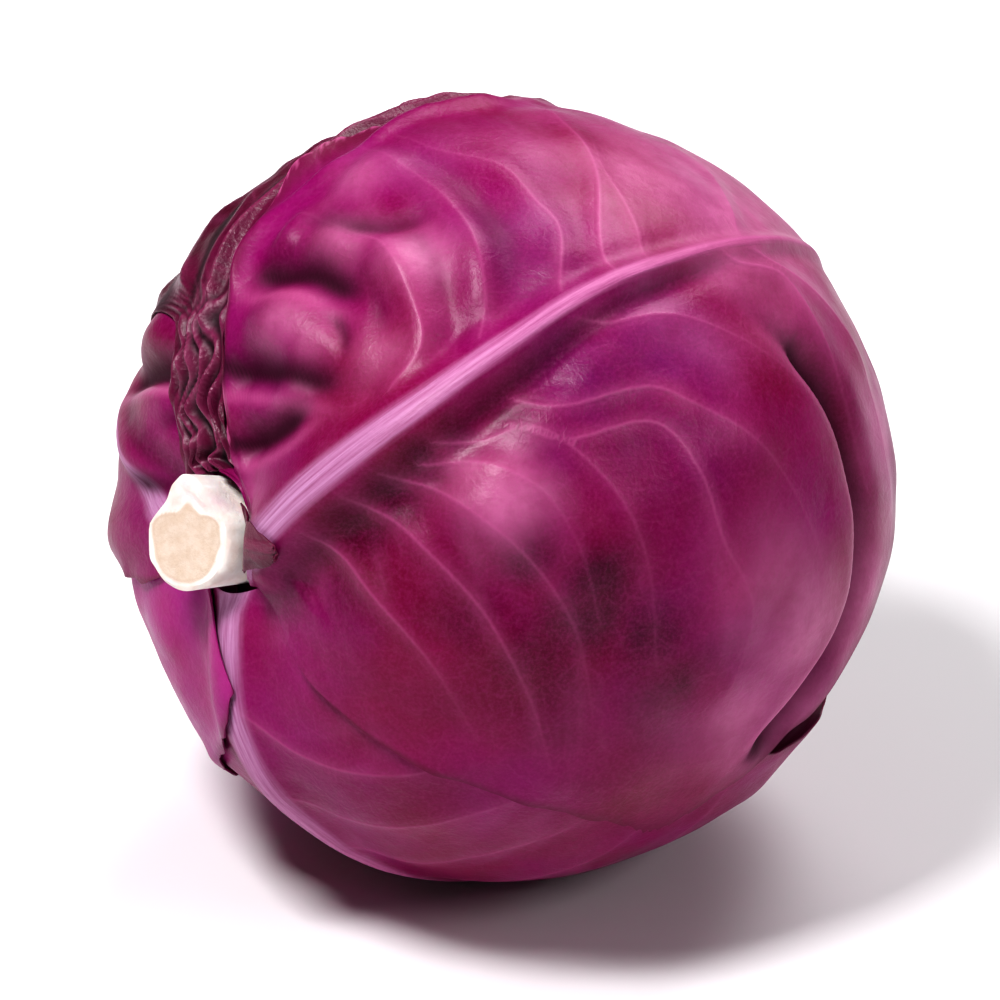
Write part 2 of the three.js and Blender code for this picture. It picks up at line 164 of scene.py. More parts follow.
def smoothLine(leaf, points, steps=8):
    along, across = np.array(points, dtype=float).T
    corners = leafDirections(leaf, along, across)
    corners = np.vstack([2 * corners[0] - corners[1], corners, 2 * corners[-1] - corners[-2]])
    path = []
    for a, b, c, d in zip(corners, corners[1:], corners[2:], corners[3:]):
        for t in np.arange(steps) / steps:
            bend = (2 * a - 5 * b + 4 * c - d) * t**2 + (3 * b - a - 3 * c + d) * t**3
            path.append((2 * b + (c - a) * t + bend) / 2)
    path.append(corners[-2])
    path = np.array(path)
    return path / np.linalg.norm(path, axis=1, keepdims=True)


def measureLine(path, directions):
    # how many degrees each direction is from a line, less than 0 to its right, and its share of the way along
    starts, legs = path[:-1], np.diff(path, axis=0)
    legSquares = (legs**2).sum(axis=1)
    reach = directions @ legs.T - (starts * legs).sum(axis=1)
    share = np.clip(reach / legSquares, 0, 1)
    squares = 2 - 2 * directions @ starts.T - 2 * share * reach + share**2 * legSquares
    nearest = squares.argmin(axis=1)
    rows = np.arange(len(directions))
    distance = np.degrees(np.sqrt(np.maximum(squares[rows, nearest], 0)))
    left = (np.cross(starts, legs)[nearest] * directions).sum(axis=1)
    return np.where(left < 0, -distance, distance), (nearest + share[rows, nearest]) / len(legs)


def along01(values, share):
    return np.interp(share, np.linspace(0, 1, len(values)), values)


def ribAcross(leaf, along):
    points = np.array(leaf["rib"]["line"], dtype=float)
    return np.interp(along, points[:, 0], points[:, 1])


pairs = {"reach": 26, "reachLoss": 9, "swing": 2.2, "swings": 3.1, "shares": (0.03, 0.25, 0.5, 0.75, 0.94)}


def pairedVeins(leaf):
    # side veins leave the midrib in turn, left and right, and bend towards the leaf's tip
    if "veinPairs" not in leaf:
        return []
    first, last, count = leaf["veinPairs"]
    lines = []
    for i in range(count):
        for side in (1, -1):
            root = lerp(first, last, (i + (0 if side > 0 else 0.5)) / count)
            line = []
            for share in pairs["shares"]:
                along = root + (pairs["reach"] - pairs["reachLoss"] * i / count) * math.sqrt(share)
                along += pairs["swing"] * math.sin(pairs["swings"] * share + i + side)
                edge = side * float(halfWidths(leaf, np.array([along]), np.array([side]))[0])
                line.append((along, lerp(float(ribAcross(leaf, root)), edge, share)))
            lines.append(line)
    return lines


def hump(away, halfWidth, power=2):
    # 1 on a line, less to both sides of it
    return np.exp(-(np.abs(away / halfWidth) ** power))


def stretch(along, first, last, fadeIn, fadeOut):
    # 1 over a part of the leaf's length, fading to 0 before and after it
    return smoothStep(along, first - fadeIn, first) * (1 - smoothStep(along, last, last + fadeOut))


# What a leaf's rib, veins and creases take where its own values don't say
ribForm = {
    "squareness": 2.6,
    "spread": 1.0,
    "spreadPower": 2.2,
    "troughs": (0.4, 0.2),
    "troughAt": -2.1,
    "troughHalfWidth": 1.1,
    "otherTroughAt": 2.0,
    "otherTrough": 0.5,
    "weakHeight": 0.2,
    "strongHeight": 2.5,
    # tone: the rib's paler band, partly a painted highlight; shade: painted shade along its other side
    "tone": (-0.42, -0.08, 0.5, 1.1),
    "weakTone": 0.4,
    "shade": 0.55,
    "shadeFrom": (0.7, 1.3, 1.6, 2.6),
    "farthest": 12,
}
veinForm = {
    "height": 0.7,
    "halfWidth": 1.5,
    "crisp": 0.25,
    "crispHalfWidth": 0.7,
    "tone": 0.6,
    "toneHalfWidth": 1.3,
    "fade": 0.8,
    "fadeFrom": 0.25,
    "farthest": 9.0,
}
creaseForm = {
    "power": 1.7,
    "farWall": 1.1,
    # gloom is painted shade under the fold over a crease, lip a painted highlight beside it, pit painted shade in its
    # bottom
    "gloom": 0.55,
    "gloomDepth": 5,
    "gloomReach": 2.4,
    "gloomNear": 0.8,
    "lipDepth": 8,
    "lipAt": 1.0,
    "lipHalfWidth": 1.3,
    "pitNear": 0.6,
    "pitFar": 0.95,
    "pitFarPower": 2.2,
    "pitDepths": (0.4, 3.6),
}


marginForm = {"starts": 0.92, "tip": 14, "farthest": 1.4, "narrowest": 0.5, "curlFrom": 8}
toneWaver = {"amount": 0.25, "size": 9}
unevenness = [(17, 0.6), (7, 0.22), (3.4, 0.06)]  # the distance between humps and their height


def ribRelief(leaf, directions):
    rib = {**ribForm, **leaf["rib"]}
    offset, share = measureLine(leaf["ribPath"], directions)
    width = along01(rib["halfWidths"], share)
    across01 = offset / width
    softSide = hump(across01, rib["spread"], rib["spreadPower"])
    crest = np.where(offset < 0, hump(across01, 1, rib["squareness"]), softSide)
    ribHeight = along01(rib["heights"], share)
    trough = along01(rib["troughs"], share)
    height = ribHeight * crest
    height -= trough * hump(offset - rib["troughAt"] * width, rib["troughHalfWidth"] * width)
    height -= rib["otherTrough"] * trough * hump(offset - rib["otherTroughAt"] * width, width)
    strong = smoothStep(ribHeight, rib["weakHeight"], rib["strongHeight"])
    # the pale band on the rib's left side: the midrib's own paler colour, and a painted highlight on the side that
    # faces the light
    starts, full, fades, ends = rib["tone"]
    tone = smoothStep(across01, starts, full) * (1 - smoothStep(across01, fades, ends))
    tone *= lerp(rib["weakTone"], 1, strong)
    # painted shade along the rib's right side, under its crest
    starts, full, fades, ends = rib["shadeFrom"]
    shady = rib["shade"] * strong * smoothStep(-across01, starts, full) * (1 - smoothStep(-across01, fades, ends))
    ribOffset = np.clip(offset, -rib["farthest"], rib["farthest"])
    return height, crest, shady, {"rib": tone, "ribOffset": ribOffset, "ribShare": share}


def veinRelief(leaf, directions):
    nearest, near, height = np.full(len(directions), veinForm["farthest"]), 0, 0
    veinOffset = nearest
    for path, vein in leaf["veinPaths"]:
        offset, share = measureLine(path, directions)
        away = np.abs(offset)
        fade = 1 - vein["fade"] * smoothStep(share, vein["fadeFrom"], 1)
        swelling = hump(away, vein["halfWidth"]) + vein["crisp"] * hump(away, vein["crispHalfWidth"])
        height = np.maximum(height, vein["height"] * fade * swelling)
        near = np.where(away < nearest, vein["tone"] * fade, near)
        veinOffset = np.where(away < nearest, vein["sign"] * offset, veinOffset)
        nearest = np.minimum(away, nearest)
    near = near * hump(nearest, veinForm["toneHalfWidth"])
    return height, near, np.clip(veinOffset, -veinForm["farthest"], veinForm["farthest"])


def creaseRelief(leaf, directions):
    # each crease sinks the leaf; its marks are painted shade in its bottom and under the fold over it, and a painted
    # highlight on the lip before its steep wall
    depth, pitShades, lipHighlights, gloom = 0, np.zeros(len(directions)), np.zeros(len(directions)), 0
    for path, crease in leaf["creasePaths"]:
        offset, share = measureLine(path, directions)
        reach = along01(crease["halfWidths"], share)
        here = along01(crease["depths"], share)
        wall = hump(offset, reach, crease["power"])
        if "steepWall" in crease:  # the near side drops straight down, as where one fold lies over the next
            wall = hump(offset, np.where(offset < 0, crease["steepWall"], crease["farWall"] * reach))
            # painted shade under the fold that overhangs the crease
            dim = hump(np.maximum(offset, 0), crease["gloomReach"] * reach)
            dim = dim * hump(np.minimum(offset, 0), crease["gloomNear"])
            gloom = np.maximum(gloom, crease["gloom"] * np.clip(here / crease["gloomDepth"], 0, 1) * dim)
            # a painted highlight on the lip just before the steep wall
            lip = hump(offset + crease["steepWall"] + crease["lipAt"], crease["lipHalfWidth"])
            lipHighlights = np.maximum(lipHighlights, lip * np.clip(here / crease["lipDepth"], 0, 1))
        depth = np.maximum(depth, here * wall)
        # painted shade in the bottom of the crease
        nearHole = hump(offset, crease["pitNear"] * crease.get("steepWall", reach))
        hole = np.where(offset < 0, nearHole, hump(offset, crease["pitFar"] * reach, crease["pitFarPower"]))
        pitShades = np.maximum(pitShades, smoothStep(here, *crease["pitDepths"]) * hole)
    return depth, pitShades, lipHighlights, gloom


def spot(leaf, directions, along, across, reach):
    at = leafDirections(leaf, np.array([float(along)]), np.array([float(across)]))[0]
    return hump(np.degrees(np.arccos(np.clip(directions @ at, -1, 1))), reach)


def pleatRelief(leaf, directions, along, across):
    # long soft folds that run with the leaf, and wander, with painted shade in their hollows and painted highlights on
    # their crests
    pleats = leaf["pleats"]
    spacing = pleats["spacing"]
    wander = pleats["swing"] * np.sin(np.radians(along * pleats["swings"]))
    wander = spacing * (wander + pleats["wander"] * rumple(directions, 2.4 * spacing, leaf["seed"] + 8))
    fold = np.abs(np.cos(math.pi * (across + wander) / spacing))
    here = stretch(along, pleats["first"], pleats["last"], pleats["fadeIn"], pleats["fadeOut"])
    height = pleats["rise"] * here * (0.9 - 1.5 * fold**0.9) * (0.75 + 0.35 * rumple(directions, 10, leaf["seed"] + 3))
    pit = pleats["pit"] * here * smoothStep(fold, 0.8, 1.0)
    return height, pit, pleats["lip"] * here * smoothStep(1 - fold, 0.75, 1)


def ribbonRelief(leaf, directions, along, across, outward):
    # the narrow neck stands up in crinkled ribbons, with painted shade between them and painted highlights on their
    # tops
    ribbons = leaf["ribbons"]
    spacing, until, blend = ribbons["spacing"], ribbons["until"], ribbons["blend"]
    wander = spacing * (0.42 * np.sin(np.radians(along * 31)) + 0.4 * np.sin(np.radians(along * 13 + 60)))
    wander += ribbons["wander"] * spacing * rumple(directions, 5, leaf["seed"] + 9)
    comb = 1 - np.abs(np.sin(math.pi * (across + wander) / spacing)) ** ribbons["power"]
    standing = 1 - smoothStep(along, until - blend, until + blend)
    standing *= 1 - ribbons["edgeSinking"] * smoothStep(outward, 0.6, 1.0)
    unequal = 0.8 + 0.35 * rumple(directions, 4, leaf["seed"] + 12)
    height = ribbons["rise"] * standing * (unequal * comb - ribbons["sunk"])
    return height, (1 - comb) ** 3 * standing, comb**3 * standing * ribbons["lip"]


def frillRelief(leaf, directions, along, across, outward):
    # a crinkled margin on the leaf's left, with its heights and how strongly the margin and the painted highlight on
    # its lip show
    frill = leaf["frill"]
    here = stretch(along, frill["first"], frill["last"], frill["fadeIn"], frill["fadeOut"]) * (across > 0)
    swing = np.sin(2 * math.pi * along / frill["wave"] + 2.6 * rumple(directions, 8, leaf["seed"] + 20))
    crinkle = 0.15 + 0.5 * swing + 0.35 * rumple(directions, 3.2, leaf["seed"] + 21)
    height = frill["rise"] * smoothStep(outward, 0.9, 1.0) * here * crinkle
    height -= frill["tuckedUnder"] * here * smoothStep(outward, 0.86, 1.0)
    return height, smoothStep(outward, 0.86, 0.97) * here, frill["lip"] * smoothStep(outward, 0.985, 1.0) * here


def relief(leaf, directions, along, across):
    # a leaf's heights over its level, and how strongly its rib, veins and margin, its painted shade in pits and hollows
    # and its painted highlights on lips and bulges show in each place
    height, crest, shady, marks = ribRelief(leaf, directions)
    veinHeight, near, veinOffset = veinRelief(leaf, directions)
    height += veinHeight * (1 - crest)
    depth, pitShades, lipHighlights, gloom = creaseRelief(leaf, directions)
    height -= depth
    for alongHere, acrossHere, rise, reach in leaf.get("swells", []):
        height += rise * spot(leaf, directions, alongHere, acrossHere, reach)
    # painted shade below the rib and under folds, painted highlights, and the leaf's own violet tone
    tones = {"pale": np.zeros(len(directions)), "dark": np.maximum(shady, gloom), "violet": np.zeros(len(directions))}
    for tone in tones:
        for alongHere, acrossHere, reach, amount in leaf.get(tone, []):
            reach = reach * (1 + toneWaver["amount"] * rumple(directions, toneWaver["size"], leaf["seed"] + 30))
            tones[tone] = np.maximum(tones[tone], amount * spot(leaf, directions, alongHere, acrossHere, reach))

    outward = np.abs(across) / np.maximum(halfWidths(leaf, along, across), marginForm["narrowest"])
    outward = np.minimum(outward, marginForm["farthest"])
    beyondTip = smoothStep(along, leaf["reach"] - marginForm["tip"], leaf["reach"])
    margin = np.maximum(smoothStep(outward, marginForm["starts"], 1.0), beyondTip)
    for size, rise in leaf.get("unevenness", unevenness):
        height += rise * rumple(directions, size, leaf["seed"] + int(size)) * (1 - 0.6 * crest)
    if "pleats" in leaf:
        pleatHeight, pit, lip = pleatRelief(leaf, directions, along, across)
        height, pitShades, lipHighlights = height + pleatHeight, np.maximum(pitShades, pit), np.maximum(lipHighlights, lip)
    if "ribbons" in leaf:
        ribbonHeight, pit, lip = ribbonRelief(leaf, directions, along, across, outward)
        height, pitShades, lipHighlights = height + ribbonHeight, np.maximum(pitShades, pit), np.maximum(lipHighlights, lip)
    if "frill" in leaf:
        frillHeight, frilledMargin, lip = frillRelief(leaf, directions, along, across, outward)
        height, margin, lipHighlights = height + frillHeight, np.maximum(margin, frilledMargin), np.maximum(lipHighlights, lip)
    height += leaf.get("curl", 0) * outward**2 * smoothStep(along, marginForm["curlFrom"], leaf["reach"])
    marks.update(pit=pitShades, lip=lipHighlights, margin=margin, veinOffset=veinOffset, veinNear=near * (1 - crest), **tones)
    marks["along"] = (along - leaf["widest"]) * np.cos(np.radians(across))
    return height, marks


def coverage(leaf, along, across):
    beside = np.abs(across) - halfWidths(leaf, np.clip(along, leaf["start"], leaf["reach"]), across)
    beyond = np.maximum.reduce([beside, leaf["start"] - along, along - leaf["reach"]])
    return 1 - smoothStep(beyond, head["coverBeyond"], head["coverBeyond"] + head["coverFade"])


def draped(a, b):
    return (a + b + np.hypot(a - b, head["drapeSoftness"])) / 2


laidLeaves = []


def faceRadii(leaf, directions):
    # each leaf lies where it would by itself, or is pushed out by the heart and by each leaf below it
    outers, covers, marks = [], [], None
    for layer in laidLeaves + [leaf]:
        along, across = leafAngles(layer, directions)
        rise, marks = relief(layer, directions, along, across)
        level = lerp(*layer["levels"], smoothStep(along, *head["levelAngles"]))
        inner = draped(
            ballRadii(directions) + level + rise - layer["thickness"],
            heartRadii(directions) + head["leafGap"],
        )
        for outer, cover in zip(outers, covers):
            inner = lerp(inner, draped(inner, outer + head["leafGap"]), cover)
        outers.append(inner + layer["thickness"])
        covers.append(coverage(layer, along, across))
    return outers[-1], marks


def clearOfStub(points):
    # pushes what is near the stem out from it, in order
    radius = np.hypot(points[:, 0], points[:, 1])
    share = np.maximum(radius - head["innermostRadius"], 0) / (head["unpushedRadius"] - head["innermostRadius"])
    pushed = lerp(head["stubRadius"] + head["stubClearance"], head["unpushedRadius"], share)
    push = np.where((radius < head["unpushedRadius"]) & (points[:, 2] > 0), pushed / radius, 1)
    points[:, :2] *= push[:, None]
    return points


def drawLines(leaf):
    # the leaf's rib, veins and creases as smooth lines on the head
    leaf["seed"] = len(laidLeaves) * 100 + 7
    leaf["ribPath"] = smoothLine(leaf, leaf["rib"]["line"])
    leaf["veinPaths"], leaf["creasePaths"] = [], []
    veins = leaf.get("veins", []) + [{"line": line} for line in pairedVeins(leaf)]
    for side in (1, -1):  # neighbours have opposite signs, so their offsets agree where one gives way to the next
        beside = [vein for vein in veins if side * (vein["line"][2][1] - ribAcross(leaf, vein["line"][2][0])) > 0]
        for rank, vein in enumerate(sorted(beside, key=lambda vein: vein["line"][0][0])):
            vein = {**veinForm, **vein, "sign": 1 - 2 * (rank % 2)}
            leaf["veinPaths"].append((smoothLine(leaf, vein["line"]), vein))
    for crease in leaf.get("creases", []):  # a crease that runs through several leaves has its own azimuth
        crease = {**creaseForm, "azimuth": leaf["azimuth"], **crease}
        leaf["creasePaths"].append((smoothLine(crease, crease["line"]), crease))


# What the leaves take where their own values don't say
laying = {
    "tipTurn": 86,
    "ragged": 0.6,
    "leftWaves": ((0.61, 0, 1), (1.37, 1, 0.6), (3.3, 0, 0.4)),
    "rightWaves": ((0.53, 2, 1), (1.21, 0, 0.6), (2.9, 0, 0.4)),
    "raggedPower": 12,
    "ribBend": 0.6,
    "softening": 5,
    "edgeSteps": 8,
    "edgeWidth": 0.16,
    "edgeThickness": 0.4,
}


def edgeWaves(along, waves):
    return sum(height * np.sin(along * pace + start) for pace, start, height in waves)


def spreadLeaf(leaf, x, y):
    # where each point of a square of 2 by 2 lies on the leaf: its rows run across, from the leaf's base to its tip
    turn = np.radians(lerp(-90, laying["tipTurn"], (y + 1) / 2))
    span = np.where(turn < 0, leaf["widest"] - leaf["start"], leaf["reach"] - leaf["widest"])
    along = leaf["widest"] + span * np.sin(turn)
    left, right = halfWidths(leaf, along, np.ones(len(x))), halfWidths(leaf, along, -np.ones(len(x)))
    ragged = leaf.get("ragged", laying["ragged"])
    leftEdge = ragged * edgeWaves(along, laying["leftWaves"])
    rightEdge = ragged * edgeWaves(along, laying["rightWaves"])
    if "frill" in leaf:
        frill = leaf["frill"]
        frilled = stretch(along, frill["first"] + 3, frill["last"], 7, 14)
        waves = np.sin(along * 1.7 + 1.3 * np.sin(along * 0.5)) + 0.6 * np.sin(along * 3.1 + 1)
        leftEdge = leftEdge + frill["depth"] * frilled * waves
    middle = np.clip(ribAcross(leaf, along), -laying["ribBend"] * right, laying["ribBend"] * left)
    across = lerp(middle, np.where(x > 0, left, -right), np.abs(x) ** leaf.get("crowding", 1.0))
    # only the outermost columns follow the ragged edge
    return along, across + np.where(x > 0, leftEdge, -rightEdge) * np.abs(x) ** laying["raggedPower"]


def thickenLeaf(piece, leaf, x, y):
    # gives the leaf its thickness inwards, with thinner edges
    edgeThinning = piece.vertex_groups.new(name="thickness")
    outward = np.maximum(np.abs(x), np.abs(y))
    steps = laying["edgeSteps"]
    width = laying["edgeWidth"] / steps
    for step in range(steps):
        chosen = np.flatnonzero((outward >= 1 - width * (step + 1)) & (outward < 1.0001 - width * step))
        share = 1 - (1 - laying["edgeThickness"]) * (1 - step / (steps - 1))
        edgeThinning.add([int(i) for i in chosen], share, "REPLACE")
    inside = np.flatnonzero(outward < 1 - laying["edgeWidth"])
    edgeThinning.add([int(i) for i in inside], 1.0, "REPLACE")
    solid = piece.modifiers.new("leaf thickness", "SOLIDIFY")
    solid.thickness = leaf["thickness"] * 0.001
    solid.offset = -1
    solid.vertex_group = "thickness"
    bpy.ops.object.modifier_apply(modifier=solid.name)
    piece.vertex_groups.clear()


def editAll(edit, **settings):
    # one edit of the active piece's whole mesh
    bpy.ops.object.mode_set(mode="EDIT")
    bpy.ops.mesh.select_all(action="SELECT")
    edit(**settings)
    bpy.ops.object.mode_set(mode="OBJECT")


def markPoints(piece, marks):
    for mark, strength in marks.items():
        attribute = piece.data.attributes.new(mark, "FLOAT", "POINT")
        attribute.data.foreach_set("value", strength.astype(np.float32))


def layLeaf(name, leaf):
    # a flat grid bent round the head
    drawLines(leaf)
    bpy.ops.object.select_all(action="DESELECT")
    rows, columns = leaf["grid"]
    bpy.ops.mesh.primitive_grid_add(x_subdivisions=columns, y_subdivisions=rows, size=2)
    piece = bpy.context.object
    piece.name = piece.data.name = name
    flat = np.empty(len(piece.data.vertices) * 3)
    piece.data.vertices.foreach_get("co", flat)
    x, y = flat.reshape(-1, 3)[:, 0], flat.reshape(-1, 3)[:, 1]

    along, across = spreadLeaf(leaf, x, y)
    directions = leafDirections(leaf, along, across)
    radii, marks = faceRadii(leaf, directions)
    points = onTheFloor(clearOfStub(directions * radii[:, None]))
    piece.data.vertices.foreach_set("co", points.ravel())
    piece.data.update()
    markPoints(piece, marks)

    normals = np.empty(len(directions) * 3)
    piece.data.vertices.foreach_get("normal", normals)
    if ((normals.reshape(-1, 3) @ lie.T) * directions).sum() < 0:
        editAll(bpy.ops.mesh.flip_normals)
    editAll(bpy.ops.mesh.vertices_smooth, factor=0.5, repeat=leaf.get("softening", laying["softening"]))
    thickenLeaf(piece, leaf, x, y)
    bpy.ops.object.shade_smooth_by_angle(angle=math.radians(60))
    laidLeaves.append(leaf)
    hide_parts(name)
    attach(piece, "root")
    print("laid", name, len(piece.data.polygons), "faces")
    return piece


# Leaf skins: a waxy blade that reads the rib, vein and margin marks of the leaf that wears it, and its marks of painted
# shade and painted highlights
def addNode(tree, kind, settings=None, **inputs):
    node = tree.nodes.new(kind)
    for setting, value in (settings or {}).items():
        setattr(node, setting, value)
    for socket, value in inputs.items():
        socket = socket.replace("_", " ")
        if isinstance(value, bpy.types.NodeSocket):
            tree.links.new(value, node.inputs[socket])
        else:
            node.inputs[socket].default_value = value
    return node


def shade(red, green, blue):
    # a colour as a painter's 0 to 255 values, in the linear light that the shader works in
    return tuple(((c / 255 + 0.055) / 1.055) ** 2.4 if c > 10 else c / 255 / 12.92 for c in (red, green, blue)) + (1,)


def dab(tree, under, over, amount):
    # lays one colour over another
    mix = tree.nodes.new("ShaderNodeMix")
    mix.data_type = "RGBA"
    for index, value in ((0, amount), (6, under), (7, over)):
        if isinstance(value, bpy.types.NodeSocket):
            tree.links.new(value, mix.inputs[index])
        else:
            mix.inputs[index].default_value = value
    return mix.outputs[2]


def maths(tree, operation, a, b):
    node = tree.nodes.new("ShaderNodeMath")
    node.operation = operation
    for index, value in ((0, a), (1, b)):
        if isinstance(value, bpy.types.NodeSocket):
            tree.links.new(value, node.inputs[index])
        else:
            node.inputs[index].default_value = value
    return node.outputs[0]


def times(tree, a, b):
    return maths(tree, "MULTIPLY", a, b)


def plus(tree, a, b):
    return maths(tree, "ADD", a, b)


def ranged(tree, value, low, high, toLow=0.0, toHigh=1.0):
    node = tree.nodes.new("ShaderNodeMapRange")
    tree.links.new(value, node.inputs["Value"])
    for socket, number in (("From Min", low), ("From Max", high), ("To Min", toLow), ("To Max", toHigh)):
        node.inputs[socket].default_value = number
    return node.outputs["Result"]


def noise(tree, vector, **settings):
    return addNode(tree, "ShaderNodeTexNoise", None, Vector=vector, **settings).outputs["Fac"]


# Noise patterns: patches about so many millimetres across, and the range of the noise that is used
patterns = {
    "blade": {"size": 34, "detail": 2, "range": (0.38, 0.64)},
    "wine": {"size": 52, "range": (0.5, 0.72)},
    "bloom": {"size": 21, "detail": 4, "roughness": 0.6, "range": (0.42, 0.75)},
    "film": {"size": 26, "detail": 2, "range": (0.42, 0.62)},
    "mottling": {"size": 7, "range": (0.3, 0.7)},
    "wineSpeckle": {"size": 2.6, "detail": 4, "roughness": 0.65, "range": (0.38, 0.7)},
    "bloomSpeckle": {"size": 0.7, "roughness": 0.6, "range": (0.4, 0.72)},
    "dullness": {"size": 12, "detail": 4, "roughness": 0.6, "range": (0.3, 0.7)},
    "grain": {"size": 1.3, "detail": 4, "roughness": 0.65},
    "bumps": {"size": 6, "detail": 2},
    "rind": {"size": 5, "range": (0.4, 0.65)},
    "blush": {"size": 8, "range": (0.55, 0.8)},
    "cut": {"size": 2.2, "detail": 5, "roughness": 0.7, "range": (0.35, 0.7)},
    "cutEdge": {"size": 4, "range": (0.3, 0.7)},
    "fibres": {"size": 0.8, "detail": 4, "roughness": 0.7},
}


def patches(tree, place, name):
    look = patterns[name]
    detail, roughness = look.get("detail", 3), look.get("roughness", 0.5)
    return noise(tree, place, Scale=1000 / look["size"], Detail=detail, Roughness=roughness)


def pattern(tree, place, name, toLow=0.0, toHigh=1.0):
    return ranged(tree, patches(tree, place, name), *patterns[name]["range"], toLow, toHigh)


# How the skins use the leaves' marks, the same for every skin
skinForm = {
    "filmAlong": 0.22,
    "filmAcross": 0.12,
    "filmScale": 0.8,
    "filmRange": (0.45, 0.72),
    "leastMottled": 0.7,
    "netScale": 190.0,
    "netWaver": 90.0,
    "netWander": 0.012,
    "netLine": (0.0, 0.09),
    "veinLine": (0.05, 0.75),
    "veinGlow": 0.45,
    "streaksAlong": 5.0,
    "streakScale": 1.5,
    "streakDetail": 4.0,
    "streakRoughness": 0.65,
    "streakRange": (0.34, 0.62),
    "faintestStreak": 0.45,
    "ribFade": (0.15, 0.75),
    # how strongly painted shade shows in pits and painted highlights on lips
    "pitShadeAmount": 0.95,
    "lipHighlightAmount": 0.75,
    "glossier": 0.06,
    "duller": 0.1,
    "pitDullness": 0.4,
    "ribDullness": 0.1,
    "coatRoughness": 0.32,
    "grainHeight": 0.9,
    "netHeight": 0.12,
    "bumpHeight": 1.4,
    "veinHeight": 1.2,
    "streakHeight": 2.5,
    "bumpDistance": 0.0005,
}


def veinlets(tree, place):
    # the faint, wandering net of a leaf's smallest veins
    waver = addNode(tree, "ShaderNodeTexNoise", None, Vector=place, Scale=skinForm["netWaver"])
    wander = tree.nodes.new("ShaderNodeMix")
    wander.data_type = "VECTOR"
    wander.inputs[0].default_value = skinForm["netWander"]
    tree.links.new(place, wander.inputs[4])
    tree.links.new(waver.outputs["Color"], wander.inputs[5])
    cells = addNode(tree, "ShaderNodeTexVoronoi", {"feature": "DISTANCE_TO_EDGE"}, Scale=skinForm["netScale"])
    tree.links.new(wander.outputs[1], cells.inputs["Vector"])
    return ranged(tree, cells.outputs["Distance"], *skinForm["netLine"], 1, 0)


def bladeColour(tree, place, marks, skin):
    # the colour between the veins: two tones, wine and bloom in patches, a film along the veins, the violet tone,
    # painted shade and painted highlights, and speckles
    blade = dab(tree, skin["blade"], skin["bladeToo"], pattern(tree, place, "blade"))
    blade = dab(tree, blade, skin["wine"], pattern(tree, place, "wine", 0, skin["wineAmount"]))
    blade = dab(tree, blade, skin["bloom"], pattern(tree, place, "bloom", 0, skin["bloomAmount"]))
    alongFilm = times(tree, marks["along"], skinForm["filmAlong"])
    acrossFilm = times(tree, marks["veinOffset"], skinForm["filmAcross"])
    film = addNode(tree, "ShaderNodeCombineXYZ", None, X=alongFilm, Z=acrossFilm).outputs[0]
    film = noise(tree, film, Scale=skinForm["filmScale"], Detail=2.0, Roughness=0.5)
    film = times(tree, ranged(tree, film, *skinForm["filmRange"]), pattern(tree, place, "film"))
    blade = dab(tree, blade, skin["film"], times(tree, film, skin["filmAmount"]))
    mottled = pattern(tree, place, "mottling", skinForm["leastMottled"], 1.0)
    # the violet tone, then painted shade, then painted highlights, all mottled
    for tone in ("violet", "dark", "pale"):
        blade = dab(tree, blade, skin[tone], times(tree, marks[tone], mottled))
    blade = dab(tree, blade, skin["wine"], pattern(tree, place, "wineSpeckle", 0, skin["speckle"]))
    return dab(tree, blade, skin["bloom"], pattern(tree, place, "bloomSpeckle", 0, skin["speckle"]))


# among these marks are painted shade in pits, below the rib and under folds, and painted highlights on lips and bulges
markNames = "rib ribOffset ribShare veinOffset veinNear along pit lip margin pale dark violet".split()


